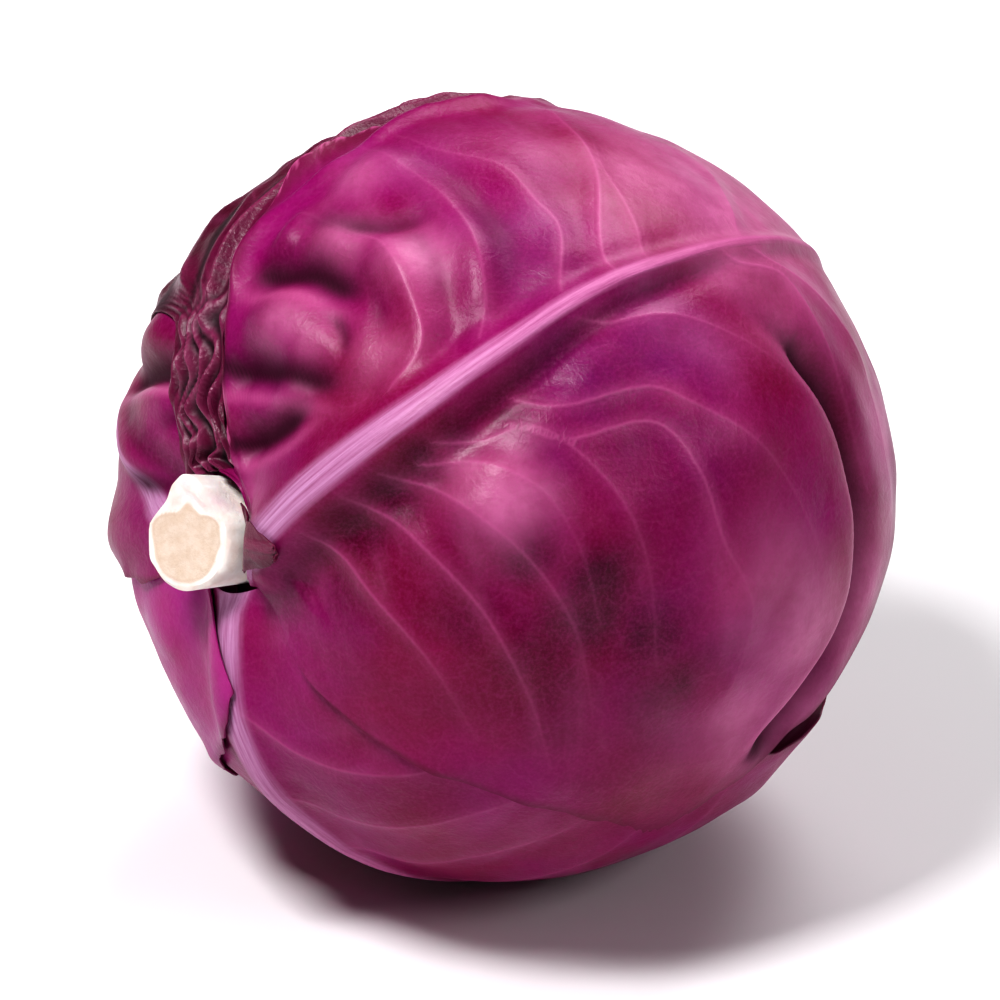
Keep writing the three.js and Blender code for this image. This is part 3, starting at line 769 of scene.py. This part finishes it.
def leafSkin(name, skin):
    material = bpy.data.materials.new(name)
    material.use_nodes = True
    tree = material.node_tree
    shader = tree.nodes["Principled BSDF"]
    place = tree.nodes.new("ShaderNodeTexCoord").outputs["Object"]
    marks = {}
    for mark in markNames:
        marks[mark] = addNode(tree, "ShaderNodeAttribute", {"attribute_name": mark}).outputs["Fac"]

    line = ranged(tree, maths(tree, "ABSOLUTE", marks["veinOffset"], 0.0), *skinForm["veinLine"], 1, 0)
    line = times(tree, line, marks["veinNear"])
    veins = maths(tree, "MAXIMUM", line, times(tree, marks["veinNear"], skinForm["veinGlow"]))
    net = veinlets(tree, place)
    colour = bladeColour(tree, place, marks, skin)
    colour = dab(tree, colour, skin["vein"], times(tree, net, skin["netAmount"]))
    colour = dab(tree, colour, skin["vein"], times(tree, veins, skin["veinAmount"]))
    lengthwise = times(tree, marks["ribShare"], skinForm["streaksAlong"])
    lengthwise = addNode(tree, "ShaderNodeCombineXYZ", None, X=marks["ribOffset"], Y=lengthwise).outputs[0]
    detail, roughness = skinForm["streakDetail"], skinForm["streakRoughness"]
    streaks = noise(tree, lengthwise, Scale=skinForm["streakScale"], Detail=detail, Roughness=roughness)
    # the rib's paler colour, streaked, laid on the rib mark's band, which is partly a painted highlight
    ribTone = dab(tree, skin["rib"], skin["ribToo"], ranged(tree, marks["ribShare"], *skinForm["ribFade"]))
    ribFade = ranged(tree, streaks, *skinForm["streakRange"], skinForm["faintestStreak"], 1)
    colour = dab(tree, colour, ribTone, times(tree, marks["rib"], ribFade))
    colour = dab(tree, colour, skin["margin"], times(tree, marks["margin"], skin["marginAmount"]))
    # painted shade in pits and painted highlights on lips
    colour = dab(tree, colour, skin["pit"], times(tree, marks["pit"], skinForm["pitShadeAmount"]))
    colour = dab(tree, colour, skin["lip"], times(tree, marks["lip"], skinForm["lipHighlightAmount"]))
    tree.links.new(colour, shader.inputs["Base Color"])

    least, most = skin["roughness"] - skinForm["glossier"], skin["roughness"] + skinForm["duller"]
    dull = plus(tree, pattern(tree, place, "dullness", least, most), times(tree, marks["pit"], skinForm["pitDullness"]))
    dull = plus(tree, dull, times(tree, marks["rib"], skinForm["ribDullness"]))
    tree.links.new(dull, shader.inputs["Roughness"])
    shader.inputs["Specular IOR Level"].default_value = skin["specular"]
    shader.inputs["Coat Weight"].default_value = skin["coat"]
    shader.inputs["Coat Roughness"].default_value = skinForm["coatRoughness"]

    raised = times(tree, patches(tree, place, "grain"), skinForm["grainHeight"])
    raised = plus(tree, raised, times(tree, net, skinForm["netHeight"]))
    raised = plus(tree, raised, times(tree, patches(tree, place, "bumps"), skinForm["bumpHeight"]))
    raised = plus(tree, raised, times(tree, line, skinForm["veinHeight"]))
    raised = plus(tree, raised, times(tree, times(tree, streaks, marks["rib"]), skinForm["streakHeight"]))
    distance = skinForm["bumpDistance"]
    bump = addNode(tree, "ShaderNodeBump", None, Height=raised, Strength=skin["bump"], Distance=distance)
    tree.links.new(bump.outputs["Normal"], shader.inputs["Normal"])
    return material


freshSkin = {
    "blade": shade(124, 0, 64),
    "bladeToo": shade(134, 0, 94),
    "wine": shade(106, 3, 44),
    "wineAmount": 0.75,
    # the colour of painted shade below the rib and under folds
    "dark": shade(58, 0, 28),
    "violet": shade(112, 0, 92),
    # the colour of painted highlights on bulges
    "pale": shade(202, 122, 164),
    "bloom": shade(184, 62, 142),
    "bloomAmount": 0.14,
    "film": shade(172, 92, 138),
    "filmAmount": 0.24,
    "netAmount": 0.035,
    "vein": shade(196, 104, 154),
    "veinAmount": 0.66,
    # the rib's paler colour, which also carries its painted highlight
    "rib": shade(200, 150, 190),
    "ribToo": shade(188, 96, 148),
    "speckle": 0.15,
    "margin": shade(96, 20, 48),
    "marginAmount": 0.6,
    # a painted highlight on lips, and near-black painted shade in pits
    "lip": shade(206, 110, 160),
    "pit": shade(54, 0, 30),
    "roughness": 0.37,
    "specular": 0.22,
    "coat": 0.03,
    "bump": 0.3,
}
oldSkin = dict(
    freshSkin,
    blade=shade(76, 0, 34),
    bladeToo=shade(100, 8, 58),
    wine=shade(48, 8, 20),
    bloom=shade(140, 56, 92),
    vein=shade(150, 70, 108),
    veinAmount=0.5,
    rib=shade(150, 74, 108),
    ribToo=shade(140, 60, 96),
    margin=shade(112, 44, 68),
    marginAmount=0.4,
    # painted highlight on lips and painted shade in pits
    lip=shade(158, 72, 112),
    pit=shade(20, 2, 10),
    roughness=0.31,
    specular=0.4,
    bump=0.6,
)
lilacSkin = dict(
    freshSkin,
    blade=shade(150, 16, 96),
    bladeToo=shade(160, 44, 130),
    bloomAmount=0.6,
    wineAmount=0.35,
)
heartSkin = dict(freshSkin, blade=shade(82, 10, 54), bladeToo=shade(104, 20, 76), roughness=0.45)

skins = {
    "fresh": leafSkin("fresh leaf", freshSkin),
    "front": leafSkin("front leaf", dict(freshSkin, bloomAmount=0.08)),
    "old": leafSkin("old leaf", oldSkin),
    "lilac": leafSkin("lilac leaf", lilacSkin),
    "heart": leafSkin("inner leaves", heartSkin),
}


def wear(piece, skin):
    piece.data.materials.clear()
    piece.data.materials.append(skins[skin])


# The inner head keeps its solid's shape, almost all of it hidden by the wrapper leaves
def smoothInnerHead():
    bpy.ops.object.select_all(action="DESELECT")
    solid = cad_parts["inner_head"]
    solid.select_set(True)
    bpy.context.view_layer.objects.active = solid
    bpy.ops.object.duplicate()
    piece = bpy.context.object
    piece.name = piece.data.name = "inner_leaves"
    editAll(bpy.ops.mesh.remove_doubles, threshold=0.00001)
    rounding = piece.modifiers.new("rounding", "SUBSURF")
    rounding.levels = rounding.render_levels = 2
    bpy.ops.object.modifier_apply(modifier=rounding.name)
    bpy.ops.object.shade_smooth_by_angle(angle=math.radians(60))
    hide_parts("inner_head")
    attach(piece, "root")
    print("smoothed the inner head:", len(piece.data.polygons), "faces")
    return piece


wear(smoothInnerHead(), "heart")

crownLeaf = {
    "azimuth": -100,
    "start": 7,
    "widest": 110,
    "reach": 212,
    "baseWidths": (8, 8),
    "left": 76,
    "right": 62,
    "levels": (-15, -8.4),
    "thickness": 0.8,
    "grid": (150, 110),
    "rib": {"line": [(7, 0), (80, 0), (205, 0)], "heights": (1, 1, 0.2), "halfWidths": (4, 2)},
    "veinPairs": (50, 175, 6),
}
wear(layLeaf("crown_leaf", crownLeaf), "fresh")

# The deep tuck left of the stem's channel pinches the three leaves there together
leftTuck = [
    {"azimuth": 112, "line": [(45, 8.5), (40, 3.4), (34, -3), (28, -8.9), (21.7, -14.2), (18, -18)],
        "depths": (0.4, 4, 7, 8, 7, 3), "halfWidths": (1.8, 2.3, 2), "steepWall": 1.5},
    {"azimuth": 112, "line": [(24, 0), (18.6, -9.1), (15.1, -13)], "depths": (0.5, 3.5, 3), "halfWidths": (1.6, 2.0)},
]

backLeaf = {
    "azimuth": 145,
    "start": 7,
    "widest": 96,
    "reach": 166,
    "baseWidths": (14, 14),
    "left": 60,
    "right": 64,
    "levels": (-12.5, -4.0),
    "thickness": 0.8,
    "grid": (150, 120),
    "rib": {"line": [(7, 0), (40, 3), (80, 0), (160, -4)], "heights": (1.6, 2.2, 1.2, 0.3),
        "halfWidths": (4.4, 3.4, 2, 1.4)},
    "veinPairs": (26, 130, 6),
    "creases": leftTuck,
}
wear(layLeaf("back_leaf", backLeaf), "fresh")

underLeaf = {
    "azimuth": -128,
    "start": 6,
    "widest": 84,
    "reach": 152,
    "baseWidths": (26, 30),
    "left": 58,
    "right": 52,
    "levels": (-6.5, -0.9),
    "thickness": 0.9,
    "grid": (150, 120),
    "rib": {"line": [(7, 0), (60, 2), (145, 0)], "heights": (3.4, 2.6, 0.5), "halfWidths": (4.8, 3.2, 1.6)},
    "veinPairs": (20, 120, 6),
}
wear(layLeaf("under_leaf", underLeaf), "fresh")

lowerLeftLeaf = {
    "azimuth": 165,
    "start": 6,
    "widest": 60,
    "reach": 118,
    "baseWidths": (24, 16),
    "left": 34,
    "right": 42,
    "levels": (-6, -0.9),
    "thickness": 0.9,
    "grid": (130, 110),
    "rib": {"line": [(7, -3), (50, -6), (110, 0)], "heights": (3.2, 2.4, 0.5), "halfWidths": (4.8, 3.2, 1.6)},
    "veinPairs": (22, 88, 5),
    "creases": leftTuck,
    "swells": [(24, 10, 2.2, 10)],
}
wear(layLeaf("lower_left_leaf", lowerLeftLeaf), "lilac")

leftLeaf = {
    "azimuth": 112,
    "start": 6,
    "widest": 56,
    "reach": 106,
    "baseWidths": (8, 5),
    "left": 34,
    "right": 34,
    "levels": (-5, -0.6),
    "thickness": 0.9,
    "grid": (150, 120),
    "rib": {"line": [(7, 6), (45, 10), (100, 4)], "heights": (3.2, 2.2, 0.5), "halfWidths": (4.4, 3, 1.6)},
    "veinPairs": (40, 86, 4),
    "creases": leftTuck + [{"line": [(30, 14), (22, 9), (14, 3)], "depths": (0.5, 3, 2), "halfWidths": (2, 2.4)}],
    "swells": [(35, -8, 3.0, 6), (22, -5, 3.0, 5.5), (40.6, -2.1, 1.6, 6), (26.9, 3.1, 2.2, 6)],
}
wear(layLeaf("left_leaf", leftLeaf), "fresh")

darkOuterLeaf = {
    "azimuth": 72,
    "start": 6,
    "widest": 76,
    "reach": 107,
    "baseWidths": (3, 3),
    "left": 48,
    "right": 14,
    "neck": {"left": 7.5, "right": 7.0, "widensFrom": 34, "widensTo": 46},
    "levels": (-2.6, 0.4),
    "thickness": 0.7,
    "grid": (200, 130),
    "rib": {"line": [(7, 0), (60, 0), (104, 0)], "heights": (0.2, 0.9, 0.3), "halfWidths": (2.6, 2.2, 1.4)},
    "veinPairs": (48, 92, 5),
    # the pleats and ribbons carry painted shade in their hollows and painted highlights on their edges, at these
    # amounts
    "pleats": {
        "rise": 3.4, "spacing": 8, "first": 40, "last": 90, "fadeIn": 8, "fadeOut": 14,
        "swing": 0.5, "swings": 5.1, "wander": 0.45, "pit": 0.8, "lip": 0.5,
    },
    "ribbons": {
        "rise": 4.2, "spacing": 2.7, "until": 38, "blend": 8, "wander": 0.3,
        "power": 1.2, "edgeSinking": 0.85, "sunk": 0.4, "lip": 0.8,
    },
    "unevenness": [(9, 0.6), (4, 0.3)],
    "ragged": 0.35,
}
wear(layLeaf("dark_outer_leaf", darkOuterLeaf), "old")

frontLeaf = {
    "azimuth": 0,
    "start": 5,
    "widest": 75,
    "reach": 150,
    "tipSquareness": 3.0,
    "baseWidths": (11, 25),
    "leftOutline": [
        (5, 5.5), (9.7, 7.5), (13, 12), (15.5, 18.5), (17.8, 24), (20, 30), (25, 41), (31.7, 51.5),
        (41.6, 62), (52, 66),
    ],
    "left": 64,
    "right": 86,
    "levels": (-2.5, 0),
    "thickness": 0.9,
    "grid": (240, 186),
    "crowding": 1.2,
    "ragged": 0.7,
    "softening": 8,
    "rib": {
        "line": [(10, -9.5), (13, -8.6), (42, -4.6), (59, 0), (77, 5.8), (100, 10.4), (129, 14.6), (146, 16)],
        "heights": (4.0, 5.4, 5.6, 4.9, 3.4, 1.7, 0.9, 0.4),
        "halfWidths": (5.2, 4.8, 3.7, 2.9, 2.1, 1.4, 1.1, 1.0),
        "troughs": (1.0, 2.2, 3.0, 2.8, 1.8, 0.7, 0.3, 0.1),
        "squareness": 3.0,
        "spread": 1.5,
    },
    "veins": [
        {"line": [(43.6, 1.8), (50.2, 6.7), (50.9, 14.9), (49.2, 24.9), (43.9, 30.5), (36.7, 38.5), (27, 39.5)],
            "height": 2.6, "halfWidth": 2.3, "crisp": 0, "tone": 0.6},
        {"line": [(57.9, 4.1), (61.2, 10.6), (62.8, 21.1), (61, 31.8), (53.5, 45.4), (43.3, 55.4)],
            "height": 2.2, "halfWidth": 2.3, "crisp": 0, "tone": 0.5},
        {"line": [(71.2, 7.1), (76.2, 18.8), (75.2, 25.3), (73.2, 34.1), (63.5, 42.7), (55.7, 54.7)],
            "height": 1.0, "halfWidth": 2.2},
        {"line": [(80, 8), (81.1, 14.9), (89.6, 30.4), (94.6, 45.8), (99.9, 55.4)], "height": 1.0, "tone": 0.8},
        {"line": [(86, 9), (88.9, 20.9), (90.9, 30.2), (95.1, 38.2)]},
        {"line": [(103, 11), (105.4, 11.7), (113.7, 24.7), (116.4, 30.1), (116.2, 38.2)]},
        {"line": [(70, 3), (77, 1.3), (85.3, 1.2), (93.3, -1.7), (101.4, -6.7), (110.6, -12.9)], "height": 0.9},
        {"line": [(106, 11), (110.8, 9.4), (119.9, 3.7), (126.1, -2.7), (133.3, -16.2), (142.1, -26.7)],
            "height": 1.1, "tone": 0.9},
        {"line": [(100, 10), (103.2, 8.3), (112, 6.5), (115.8, -2.4), (119.3, -9.8), (129, -24.6)],
            "height": 1.0, "tone": 0.9},
        {"line": [(60, -6), (66.5, -9.1), (78.8, -9.3), (85.1, -12.7), (93, -17.9), (100.5, -24.4),
            (109.9, -34.6), (116, -44)], "height": 0.8},
        {"line": [(43.8, -10), (49.2, -11.7), (53.4, -13.8), (57.2, -17.3), (59.9, -21.2), (62, -30),
            (62, -42)], "height": 1.2, "halfWidth": 1.8},
        {"line": [(58, -9), (64.9, -13.8), (78.3, -14.5), (84.1, -23), (87.2, -33), (92, -39.5), (94.7, -45.7),
            (93.2, -58)], "height": 0.9},
        {"line": [(47, -8), (53.1, -9.8), (60.8, -10.4), (66.6, -16.8), (71, -25.5), (73.1, -36.1), (72, -50)],
            "height": 0.9},
        {"line": [(38, -9), (46, -16), (53, -27), (57, -40), (55, -54)], "height": 1.0},
        {"line": [(31, -9), (38, -19), (43, -33), (43, -48), (38, -60)], "height": 1.0},
        {"line": [(22, -10), (27, -22), (30, -36), (27, -50)], "height": 0.9},
    ],
    "creases": [
        {"line": [(10.5, 10.5), (13, 9), (17.6, 7.5), (24, 6.4), (29, 6.6), (32, 7.5)],
            "depths": (0.8, 3.4, 4.6, 4.2, 2.4, 0.3), "halfWidths": (1.5, 1.9, 1.7), "steepWall": 2.4},
        {"line": [(15, 20.5), (17.5, 19.4), (23.5, 16), (32.6, 9.5), (37, 6)],
            "depths": (2.4, 4.2, 4.6, 3.1, 0.8), "halfWidths": (2.0, 2.6, 2.2), "steepWall": 2.9},
        {"line": [(25, 33), (29, 30.5), (36.9, 26.4), (41, 21.8), (46, 16.5)],
            "depths": (0.8, 3.5, 4.2, 3.1, 0.5), "halfWidths": (1.9, 2.6, 2.2), "steepWall": 2.9},
        {"line": [(36, 40), (38.7, 36.2), (46.8, 29.9), (55.2, 27.6), (60, 28.9)],
            "depths": (0.4, 1.5, 2.6, 2.0, 0.2), "halfWidths": (2.4, 2.6, 2.2)},
        {"line": [(57, 6), (66, 14), (67, 24), (64.5, 35), (56, 48)], "depths": (0.8, 1.4, 1.8, 1.4, 0.4),
            "halfWidths": (2.6, 3.4, 2.6)},
        {"line": [(54.5, 6), (56, 14), (55, 24), (49, 34)], "depths": (0.6, 1.6, 1.6, 0.5),
            "halfWidths": (1.8, 2.2, 1.8)},
        {"line": [(43.5, 8), (46, 14), (45, 22), (40, 29)], "depths": (0.3, 1.5, 1.5, 0.3),
            "halfWidths": (1.8, 2.0, 1.8)},
        {"line": [(36, 21), (38.8, 16.2), (39, 12.6), (37.4, 9)], "depths": (0.3, 2.4, 2.0, 0.2),
            "halfWidths": (1.2, 1.2)},
        {
            "line": [(100, 2), (107.2, -4.8), (109.8, -7.1), (117.7, -15.1), (124.7, -27.8), (130, -39.5),
                (129.5, -51.6), (127.6, -62.1), (120, -70)],
            "depths": (0.2, 2, 5, 7, 8, 8, 8, 7, 1),
            "halfWidths": (2.2, 2.8, 3.2, 3.4, 3.0),
            "steepWall": 1.7,
        },
    ],
    "swells": [  # along, across, rise, reach
        (29, 21.5, 3.4, 7.0), (28.5, 11.6, 3.4, 3.4), (19, 13, 1.6, 3.2), (42, 31, 3.2, 6.2),
        (49.5, 42, 3.0, 6), (53, 20, 2.6, 6.5), (66, 18, 1.8, 7), (60, 47, 2.0, 7), (52, -20, 3.2, 6.5),
        (96, -30, 1.4, 14), (64.8, -42.2, -1.8, 9), (75.2, -64.7, -1.6, 9), (47.8, -28.9, -1.6, 7),
        (80, 24, -1.2, 7),
    ],
    # the frill's lip amount is a painted highlight along its edge
    "frill": {
        "rise": 2.2, "wave": 4.5, "first": 8, "last": 52, "fadeIn": 6, "fadeOut": 16,
        "tuckedUnder": 2.2, "depth": 0.9, "lip": 0.7,
    },
    "violet": [  # along, across, reach, amount
        (70, 16, 10, 0.9), (70, -6, 9, 0.95), (84, -4, 12, 0.9), (64, -14, 7, 0.6), (15, 2, 6, 0.4),
        (80, -20, 14, 0.6), (60, 40, 10, 0.4),
    ],
    # painted highlights on the lobes and bulges, and broad ones towards the tip: along, across, reach, amount
    "pale": [
        (31, 20, 4.5, 0.6), (34, 15, 4, 0.45), (43, 29, 4.5, 0.6), (50, 41, 5, 0.5), (54, 19, 5.5, 0.9),
        (30, 10, 3, 0.4), (44, 8, 5, 0.4), (14, 0, 4, 0.5), (50, -14, 3.5, 0.6), (53, -19, 6, 0.9),
        (57, -13, 4, 0.5), (98, -40, 9, 0.5), (112, -46, 10, 0.75), (104, -62, 9, 0.6), (114, 22, 24, 0.8),
        (134, -14, 10, 0.8), (140, -38, 14, 0.8), (132, -60, 12, 0.6),
    ],
    # painted shade below the rib and over the lower right of the leaf: along, across, reach, amount
    "dark": [
        (58, -9, 4, 0.9), (50, -8.5, 3.5, 1.0), (44, -10, 4, 1.0), (37, -12, 4.5, 1.0), (30, -14, 5, 0.9),
        (22, -20, 8, 0.4), (75, -9, 7, 0.35), (54, -28, 4.5, 1.0), (64, -34, 6, 1.0), (60, -41, 8, 0.9),
        (72, -45, 8, 0.9), (77, -53, 9, 0.7), (50, -44, 10, 0.6), (40, -34, 8, 0.5),
    ],
}
wear(layLeaf("front_leaf", frontLeaf), "front")

stemScrap = {
    "azimuth": -34,
    "start": 3,
    "widest": 13,
    "reach": 20,
    "baseWidths": (2.4, 2.4),
    "left": 3.6,
    "right": 3.6,
    "levels": (-1, 0),
    "thickness": 0.6,
    "grid": (60, 44),
    "rib": {"line": [(3, 0), (12, 0), (20, 0)], "heights": (0.2, 1.6, 3), "halfWidths": (1.6, 1.6)},
    "unevenness": [(5, 0.5), (2.2, 0.5)],
    "curl": 3.2,
    "ragged": 0.3,
}
wear(layLeaf("stem_scrap", stemScrap), "old")

# The stem: the stub that the knife left, and the pith core that tapers into the head
stem = {
    "sides": 96,
    "coreOutline": [(4.5, -11), (9, -2), (12.4, 12), (14.6, 28), (15, 42), (11.2, 50), (11.1, 62), (11.1, 68),
        (11.1, 73)],
    "end": 78,
    "bevel": 0.8,
    "cutSlope": 0.56,
    "cutFacing": -22,
    "knifeFlat": 0.07,
    "peak": 60,
    "slimness": 0.2,
    "peakSlimness": 0.34,
    "peakRise": 1.4,
    "lean": 0.3,
    "knobRise": 1.0,
    "exposedFrom": (58, 66),
    "flats": 3,
    "nicks": ((7, 1, 0.012), (13, 0, 0.005)),
    "slimFrom": (-8, 1, 8),
    "dishing": 0.8,
    "cutUnevenness": 0.15,
    "cutRings": (0.35, 0.6, 0.7, 0.8, 0.8, 0.8, 0.9, 1.0, 1.2, 1.2),
    "edge": {"middle": 0.84, "right": 0.1, "up": 0.34, "wave": 0.012, "softness": 0.08},
}


def makeStem():
    bpy.ops.object.select_all(action="DESELECT")
    radius, height = stem["coreOutline"][0]
    bpy.ops.mesh.primitive_circle_add(vertices=stem["sides"], radius=radius, location=(0, 0, height), fill_type="NGON")
    piece = bpy.context.object
    piece.name = piece.data.name = "stem"
    bpy.ops.object.transform_apply(location=True, rotation=True, scale=True)
    bpy.ops.object.mode_set(mode="EDIT")
    bpy.ops.mesh.select_all(action="SELECT")
    stubRadius, bevel, end = stem["coreOutline"][-1][0], stem["bevel"], stem["end"]
    for nextRadius, nextHeight in stem["coreOutline"][1:] + [(stubRadius, end - bevel), (stubRadius - bevel, end)]:
        bpy.ops.mesh.extrude_region_move(TRANSFORM_OT_translate={"value": (0, 0, nextHeight - height)})
        grow = nextRadius / radius
        bpy.ops.transform.resize(value=(grow, grow, 1), center_override=(0, 0, nextHeight))
        radius, height = nextRadius, nextHeight
    for width in stem["cutRings"]:  # from the rind to the middle
        bpy.ops.mesh.inset(thickness=width)
    bpy.ops.mesh.poke()
    bpy.ops.mesh.select_all(action="SELECT")
    bpy.ops.mesh.normals_make_consistent(inside=False)
    bpy.ops.object.mode_set(mode="OBJECT")

    flat = np.empty(len(piece.data.vertices) * 3)
    piece.data.vertices.foreach_get("co", flat)
    points = flat.reshape(-1, 3)
    x, y, z = points[:, 0].copy(), points[:, 1].copy(), points[:, 2].copy()
    around = np.arctan2(y, x)
    exposed = smoothStep(z, *stem["exposedFrom"])
    outer = np.hypot(x, y) / stubRadius
    peakTurn = math.radians(stem["peak"])
    up = np.cos(around - peakTurn)
    # the knife has trimmed the stub to a blunt arch, with a few flats and nicks
    flats = stem["knifeFlat"] * (1 - np.cos(stem["flats"] * around)) * (up < 0.2)
    flats += sum(depth * np.cos(count * around + start) for count, start, depth in stem["nicks"])
    squeeze = 1 - exposed * flats
    facing = math.radians(stem["cutFacing"])
    upward = (x * math.cos(peakTurn) + y * math.sin(peakTurn)) * squeeze
    sideways = (y * math.cos(peakTurn) - x * math.sin(peakTurn)) * squeeze
    low, middle, high = stem["slimFrom"]
    slimness = stem["slimness"] * smoothStep(upward, low, middle)
    slimness += stem["peakSlimness"] * smoothStep(upward, middle, high)
    upward += stem["peakRise"] * smoothStep(z, 70, 76) * smoothStep(upward, 2, 9)
    sideways = sideways * (1 - exposed * slimness) + stem["lean"] * exposed
    points[:, 0] = upward * math.cos(peakTurn) - sideways * math.sin(peakTurn)
    points[:, 1] = upward * math.sin(peakTurn) + sideways * math.cos(peakTurn)
    forward = points[:, 0] * math.cos(facing) + points[:, 1] * math.sin(facing)
    fromEnd = smoothStep(z, stem["exposedFrom"][1], end - bevel)
    points[:, 2] = z - stem["cutSlope"] * forward * fromEnd
    onTop = z > end - 0.01
    points[:, 2] -= onTop * (stem["dishing"] * (1 - outer**2) + stem["cutUnevenness"] * np.sin(5 * around) * outer)
    knob = smoothStep(up, 0.55, 0.85) * smoothStep(outer, 0.6, 0.8) * (z > end - 2)
    points[:, 2] += stem["knobRise"] * knob * (0.95 + 0.08 * np.sin(4 * around))
    rightward = np.cos(around - peakTurn + math.pi / 2)
    edge = stem["edge"]["middle"] - stem["edge"]["right"] * smoothStep(rightward, 0, 1)
    edge -= stem["edge"]["up"] * smoothStep(up, 0.3, 0.85) - stem["edge"]["wave"] * np.sin(6 * around)
    softness = stem["edge"]["softness"]
    cutFace = onTop * (1 - smoothStep(outer, edge - softness, edge + softness))
    piece.data.vertices.foreach_set("co", onTheFloor(points).ravel())
    markPoints(piece, {"cutFace": cutFace})
    bpy.ops.object.shade_smooth_by_angle(angle=math.radians(40))
    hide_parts("stem")
    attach(piece, "root")
    print("made stem")
    return piece


pith = {
    "rind": shade(246, 240, 236),
    "rindToo": shade(236, 220, 212),
    "cut": shade(224, 206, 192),
    "cutToo": shade(212, 188, 168),
    "line": shade(190, 154, 120),
    "blush": shade(206, 120, 160),
    "blushAmount": 0.4,
    "edgeWander": 0.1,
    "edgeRange": (0.3, 0.75),
    "lineWidth": 0.4,
    "lineAmount": 0.4,
    "roughness": 0.6,
    "glow": 0.12,
    "glowDepths": (0.004, 0.003, 0.002),
}


def pithSkin():
    material = bpy.data.materials.new("cut pith")
    material.use_nodes = True
    tree = material.node_tree
    shader = tree.nodes["Principled BSDF"]
    place = tree.nodes.new("ShaderNodeTexCoord").outputs["Object"]
    cutFace = addNode(tree, "ShaderNodeAttribute", {"attribute_name": "cutFace"}).outputs["Fac"]
    rind = dab(tree, pith["rind"], pith["rindToo"], pattern(tree, place, "rind"))
    rind = dab(tree, rind, pith["blush"], pattern(tree, place, "blush", 0, pith["blushAmount"]))
    cut = dab(tree, pith["cut"], pith["cutToo"], pattern(tree, place, "cut"))
    edge = plus(tree, cutFace, pattern(tree, place, "cutEdge", -pith["edgeWander"], pith["edgeWander"]))
    colour = dab(tree, rind, cut, ranged(tree, edge, *pith["edgeRange"]))
    brim = maths(tree, "ABSOLUTE", maths(tree, "SUBTRACT", edge, 0.5), 0.0)
    colour = dab(tree, colour, pith["line"], ranged(tree, brim, 0.0, pith["lineWidth"], pith["lineAmount"], 0))
    tree.links.new(colour, shader.inputs["Base Color"])
    shader.inputs["Roughness"].default_value = pith["roughness"]
    shader.inputs["Subsurface Weight"].default_value = pith["glow"]
    shader.inputs["Subsurface Radius"].default_value = pith["glowDepths"]
    fibres = patches(tree, place, "fibres")
    bump = addNode(tree, "ShaderNodeBump", None, Height=fibres, Strength=0.5, Distance=0.0004)
    tree.links.new(bump.outputs["Normal"], shader.inputs["Normal"])
    return material


stump = makeStem()
stump.data.materials.clear()
stump.data.materials.append(pithSkin())

# The set: a pale floor, soft lights, and the camera at the photograph's angle
studio = {
    "cameraTurn": 0.0,
    "cameraLift": 30.0,
    "cameraDistance": 2.5,
    "pictureWidth": 0.205,
    "sensor": 36,
    "floor": shade(238, 236, 238),
    "floorSize": 6,
    "floorRoughness": 0.8,
    "world": 0.07,
    "key": {"place": (-0.45, -0.4, 1.2), "size": 0.32, "power": 14},
    "fill": {"place": (0.9, -0.6, 0.8), "size": 0.36, "power": 3},
    "top": {"place": (0.35, 0.7, 1.1), "size": 0.8, "power": 9},
}


def setTheStage():
    bpy.ops.object.select_all(action="DESELECT")
    bpy.ops.mesh.primitive_plane_add(size=studio["floorSize"], location=(0, 0, 0))
    floor = bpy.context.object
    floor.name = "floor"
    paper = bpy.data.materials.new("floor paper")
    paper.use_nodes = True
    shader = paper.node_tree.nodes["Principled BSDF"]
    shader.inputs["Base Color"].default_value = studio["floor"]
    shader.inputs["Roughness"].default_value = studio["floorRoughness"]
    floor.data.materials.append(paper)

    aim = np.array([0, 0, head["middle"][2] * 0.001])
    for name in ("key", "fill", "top"):
        light = studio[name]
        bpy.ops.object.light_add(type="AREA", location=light["place"])
        lamp = bpy.context.object
        lamp.name = name
        lamp.data.size = light["size"]
        lamp.data.energy = light["power"]
        pointAt(lamp, aim)
    world = bpy.data.worlds.new("studio")
    bpy.context.scene.world = world
    world.use_nodes = True
    background = world.node_tree.nodes["Background"]
    background.inputs["Color"].default_value = (1, 1, 1, 1)
    background.inputs["Strength"].default_value = studio["world"]

    turn, lift = math.radians(studio["cameraTurn"]), math.radians(studio["cameraLift"])
    away = np.array([math.sin(turn) * math.cos(lift), -math.cos(turn) * math.cos(lift), math.sin(lift)])
    bpy.ops.object.camera_add(location=aim + away * studio["cameraDistance"])
    camera = bpy.context.object
    camera.data.sensor_width = studio["sensor"]
    camera.data.lens = studio["sensor"] * studio["cameraDistance"] / studio["pictureWidth"]
    pointAt(camera, aim)
    bpy.context.scene.camera = camera
    bpy.context.scene.view_settings.view_transform = "Standard"
    bpy.context.scene.view_settings.look = "High Contrast"
    print("set the stage")


def pointAt(thing, aim):
    thing.rotation_euler = (Vector(aim) - thing.location).to_track_quat("-Z", "Y").to_euler()


setTheStage()
